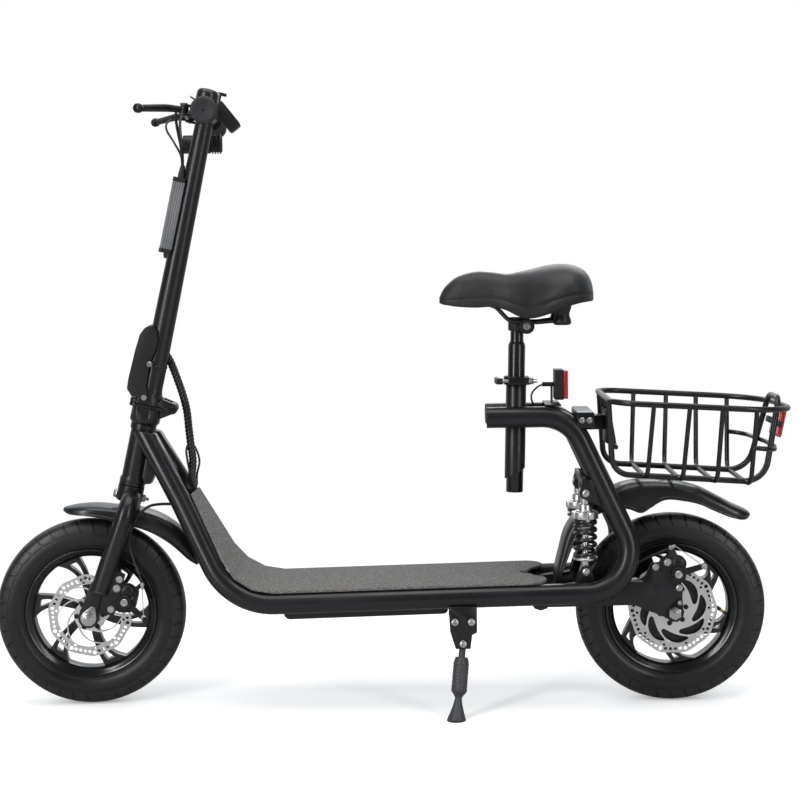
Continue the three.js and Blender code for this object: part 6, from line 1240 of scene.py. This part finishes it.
def cushion_ring(row):
    """One section of the cushion, from a row of length, crown, skirt and half width as shares."""
    along_x, crown, skirt, wide = row
    for over, rise in section:
        hollow = 0.05 * max(0, 1 - abs(over) / 0.2) if rise > 0.9 and along_x > 0.3 else 0
        height = saddle_foot + saddle_height * (skirt + (rise - hollow) * (crown - skirt))
        yield spot(saddle_front + saddle_length * along_x, over * wide * saddle_half, height)


saddle = lofted("saddle_cushion", curved(saddle_rows, 5, closed=False), cushion_ring, True)
edit(saddle)
done()
soften = saddle.modifiers.new("soften", "SMOOTH")
soften.factor = 0.5
soften.iterations = 2
bpy.ops.object.modifier_apply(modifier="soften")
finer = saddle.modifiers.new("finer", "SUBSURF")
finer.levels = 1
bpy.ops.object.modifier_apply(modifier="finer")
bpy.ops.object.shade_smooth()
cover, tree, point = surface("saddle_cover", "saddle_cover")
skin = grained(tree, point, (0.009, 0.009, 0.0098), 0.14, 520, 0.36, 0.06)
pores = node(tree, "TexVoronoi", {"feature": "DISTANCE_TO_EDGE"}, Vector=point, Scale=1500.0)
height = maths(tree, "MULTIPLY_ADD", skin.outputs["Height"], 0.5,
               ranged(tree, pores.outputs["Distance"], 0.0, 0.14))
shaded(tree, skin, skin.outputs["Roughness"], height, 0.00006)
settle(saddle, "seat", cover, "saddle")

# Rear fender: a longer guard of the same moulding, hung by a strap from the shock mounts
# and kicked up at its tail.
rear_rows = [(168, 1.25, 1.215, 0.9), (161, 1.277, 1.22, 1), (152, 1.315, 1.235, 1), (143, 1.38, 1.27, 1),
             (134, 1.41, 1.3, 1), (123, 1.418, 1.265, 1), (114, 1.413, 1.18, 1), (108, 1.403, 1.085, 1),
             (102, 1.38, 1.11, 1), (94, 1.347, 1.17, 1), (84, 1.318, 1.16, 1), (76, 1.295, 1.152, 1),
             (68, 1.266, 1.134, 0.98), (60, 1.258, 1.142, 0.95), (54.5, 1.276, 1.175, 0.86),
             (51.6, 1.288, 1.21, 0.66), (50.2, 1.285, 1.245, 0.42)]
rear_guard = fender("rear_guard", rear_rows, facing(level_side, wheelbase, tyre_radius, 0))
strap = plate("guard_strap", [slab(828.2, 330, 829.8, 371, 1.2)], -12, 12, level_side, 0.0005)
settle(joined("rear_fender_moulding", rear_guard, strap), "frame", gloss_moulding, "rear_fender")

# Tail lamp: a black housing on a bent bracket over the rails, with a ribbed red lens behind,
# and its lead looped in front.
dressed("tail_light", "frame", moulded_black, 0.0014, 3, 25, 45)
lens_red, tree, point = surface("lamp_red", "red_lens")
skin = grained(tree, point, (0.62, 0.012, 0.014), 0.12, 300, 0.14, 0.04)
cells = node(tree, "TexVoronoi", {"feature": "DISTANCE_TO_EDGE"}, Vector=point, Scale=330.0, Randomness=0.0)
prism = ranged(tree, cells.outputs["Distance"], 0.0, 0.22)
# The faint red emission is a painted glow in the lens, and in the basket reflector, which wears this material too.
shaded(tree, tinted(tree, prism, (0.22, 0.004, 0.006, 1), skin), skin.outputs["Roughness"], prism, 0.0005,
       Coat_Weight=0.8, Coat_Roughness=0.06, Emission_Color=(0.8, 0.02, 0.02, 1), Emission_Strength=0.12)
dressed("tail_light_lens", "frame", lens_red, 0.0012, 3, 25, 45)
settle(cable("lamp_lead", [(768, -8, 536), (758, -10, 532), (748, -12, 520), (750, -12, 505), (762, -8, 494),
                           (774, -2, 480)], 1.6, 10), "frame", cable_skin)

# Kickstand: a folded plate bracket bolted under the left rail and a turned leg on a pin,
# with its spring in the sleeve and a foot that is cut flat on the ground.
stand_grey = finish("stand_grey", "stand_grey", (0.052, 0.053, 0.057), 0.4, metal=0.1, depth=0.00003, worn=0.4,
                    worn_colour=(0.2, 0.2, 0.2))
dressed("kickstand_bracket", "frame", satin_black, 0.0010, 2, 28, 45)
stand_x, stand_z, stand_half = 628.6, 121.5, 95
stand_bolts = [hex_head("stand_bolt", facing(level_side, x, z, 112.9), 5.2, 2.4)
               for x, z in ((615.6, 157.5), (642.6, 157.5), (stand_x, stand_z))]
settle(joined("stand_bolts", *stand_bolts), "frame", bright_zinc)
pivot, foot = spot(stand_x, -stand_half, stand_z), spot(616.5, -130, 0)
reach = (foot - pivot).length * 1000
leg_profile = [[0, 4], [5.5, 4], [5.5, 0.2 * reach], [9.4, 0.2 * reach], [10.5, 0.21 * reach], [12.2, 0.26 * reach]]
for i in range(11):
    start = reach * (0.28 + 0.031 * i)
    leg_profile += [[12.3, start], [13.1, start + 1], [13.1, start + 2], [12.3, start + 3]]
leg_profile += [[13.3, 0.63 * reach], [9, 0.675 * reach], [8, 0.68 * reach], [5.6, 0.72 * reach],
                [7.4, 0.8 * reach], [12.6, 0.93 * reach], [15.2, 0.985 * reach], [17.2, 1.1 * reach],
                [0, 1.1 * reach]]
leg = turned("stand_leg", leg_profile, standing(pivot, foot - pivot), 48, False, 35)
edit(leg)
bpy.ops.mesh.bisect(plane_co=(0, 0, 0.0004), plane_no=(0, 0, -1), use_fill=True, clear_outer=True)
done(outward=False)
eye = turned("stand_eye", [[4.5, -8], [10, -8], [11, -7], [11, 7], [10, 8], [4.5, 8]],
             facing(level_side, stand_x, stand_z, stand_half), 40, True, 40)
settle(joined("stand_leg_assembly", leg, eye), "kickstand", stand_grey, "kickstand_leg")


# Basket: bent and welded steel wire, coated black. A sloping rim, four ribs, two runners
# that meet in a raised hoop behind, a rail half way up and a clamp on the frame in front.
def between(x, from_x, to_x, from_z, to_z):
    return from_z + (x - from_x) * (to_z - from_z) / (to_x - from_x)


basket_front, basket_back, basket_half, front_z = 869, 1163, 137, 515


def rim_height(x):
    return between(x, basket_front, basket_back, front_z, 497.5)


rim_path = rounded([spot(x, y, 0) for x, y in (
    (basket_back, 0), (basket_back, basket_half), (basket_front, basket_half), (basket_front, -basket_half),
    (basket_back, -basket_half), (basket_back, 0))], [0.09, 0.045, 0.045, 0.09], 6)[:-1]
for point in rim_path:
    point.z = rim_height(point.x * 1000 + middle_x) / 1000
wires = [tube("basket_rim", rim_path, 0.005, 16, True, 60)]
for top, low in zip((935, 992, 1044, 1098), (926, 983, 1038, 1092)):
    high, base = rim_height(top), between(low, 894, 1088, 393, 379) - 1
    path = rounded([spot(top, -basket_half, high), spot(low + 2, -109, base + 2), spot(low, -81, base),
                    spot(low, 81, base), spot(low + 2, 109, base + 2), spot(top, basket_half, high)],
                   [0.024, 0.03, 0.03, 0.024], 8)
    wires.append(tube("basket_rib", path, 0.004, 14, False, 60))
left_runner, right_runner = ([spot(basket_front, side * 75, front_z), spot(876, side * 75, 393),
                              spot(1122, side * 75, 377),
                              spot(1152, side * 40, 512)] for side in (-1, 1))
wires.append(tube("basket_runner", rounded([*left_runner, *right_runner[::-1]],
                                           [0.03, 0.04, 0.024, 0.024, 0.04, 0.03], 6), 0.005, 16, False, 60))
belt_y = between(440, 379, 497.5, 115, basket_half) + 4
belt = [spot(1094, -belt_y, 440), spot(1127, -belt_y, 436), spot(1145, -40, 432), spot(1145, 40, 432),
        spot(1127, belt_y, 436), spot(1094, belt_y, 440)]
wires.append(tube("basket_belt", rounded(belt, [0.03, 0.03, 0.03, 0.03], 6), 0.004, 14, False, 60))
for y in (-40, 0, 40):
    wires.append(tube("basket_upright", [spot(basket_front, y, front_z), spot(883, y, 433)], 0.004, 14, False, 60))
wires.append(tube("basket_cross", [spot(881, -77, 437), spot(881, 77, 437)], 0.004, 14, False, 60))
wires += [plate("mount_plate", [slab(871, 439, 875, 493, 1)], -30, 30, level_side, 0.0008),
          plate("mount_arm", [slab(838, 463, 870, 481, 3)], -15, 15, level_side, 0.0010),
          plate("mount_clamp", [slab(823, 470, 845, 490, 3)], -60, 60, level_side, 0.0012, 3)]
settle(joined("basket_wirework", *wires), "frame", satin_black, "basket")
mount_bolts = [hex_head("mount_bolt", facing(level_side, x, 480, 60, side), 4.6, 3)
               for x in (828, 840) for side in (-1, 1)]
settle(joined("mount_bolts", *mount_bolts), "frame", bright_zinc)

# Reflector: a red prismatic plate on a black strap across the basket's hoop.
reflector_place = (Matrix.Translation(spot(1158.6, 0, 468)) @ Matrix.Rotation(math.atan2(9, 44), 4, "Y")
                   @ Matrix.Rotation(math.radians(90), 4, "Y"))
reflector = plate("reflector_plate", [slab(-18.4, -32, 18.4, 32, 4)], -3.4, 3.4, reflector_place, 0.0010, 3)
# The plate wears the tail lamp's red material, so it carries that material's painted glow.
settle(reflector, "frame", lens_red, "basket_reflector")
backing = plate("reflector_strap", [slab(-4, -54, 4, 54, 1)], -9, -3.5, reflector_place, 0.0006)
settle(backing, "frame", moulded_black)
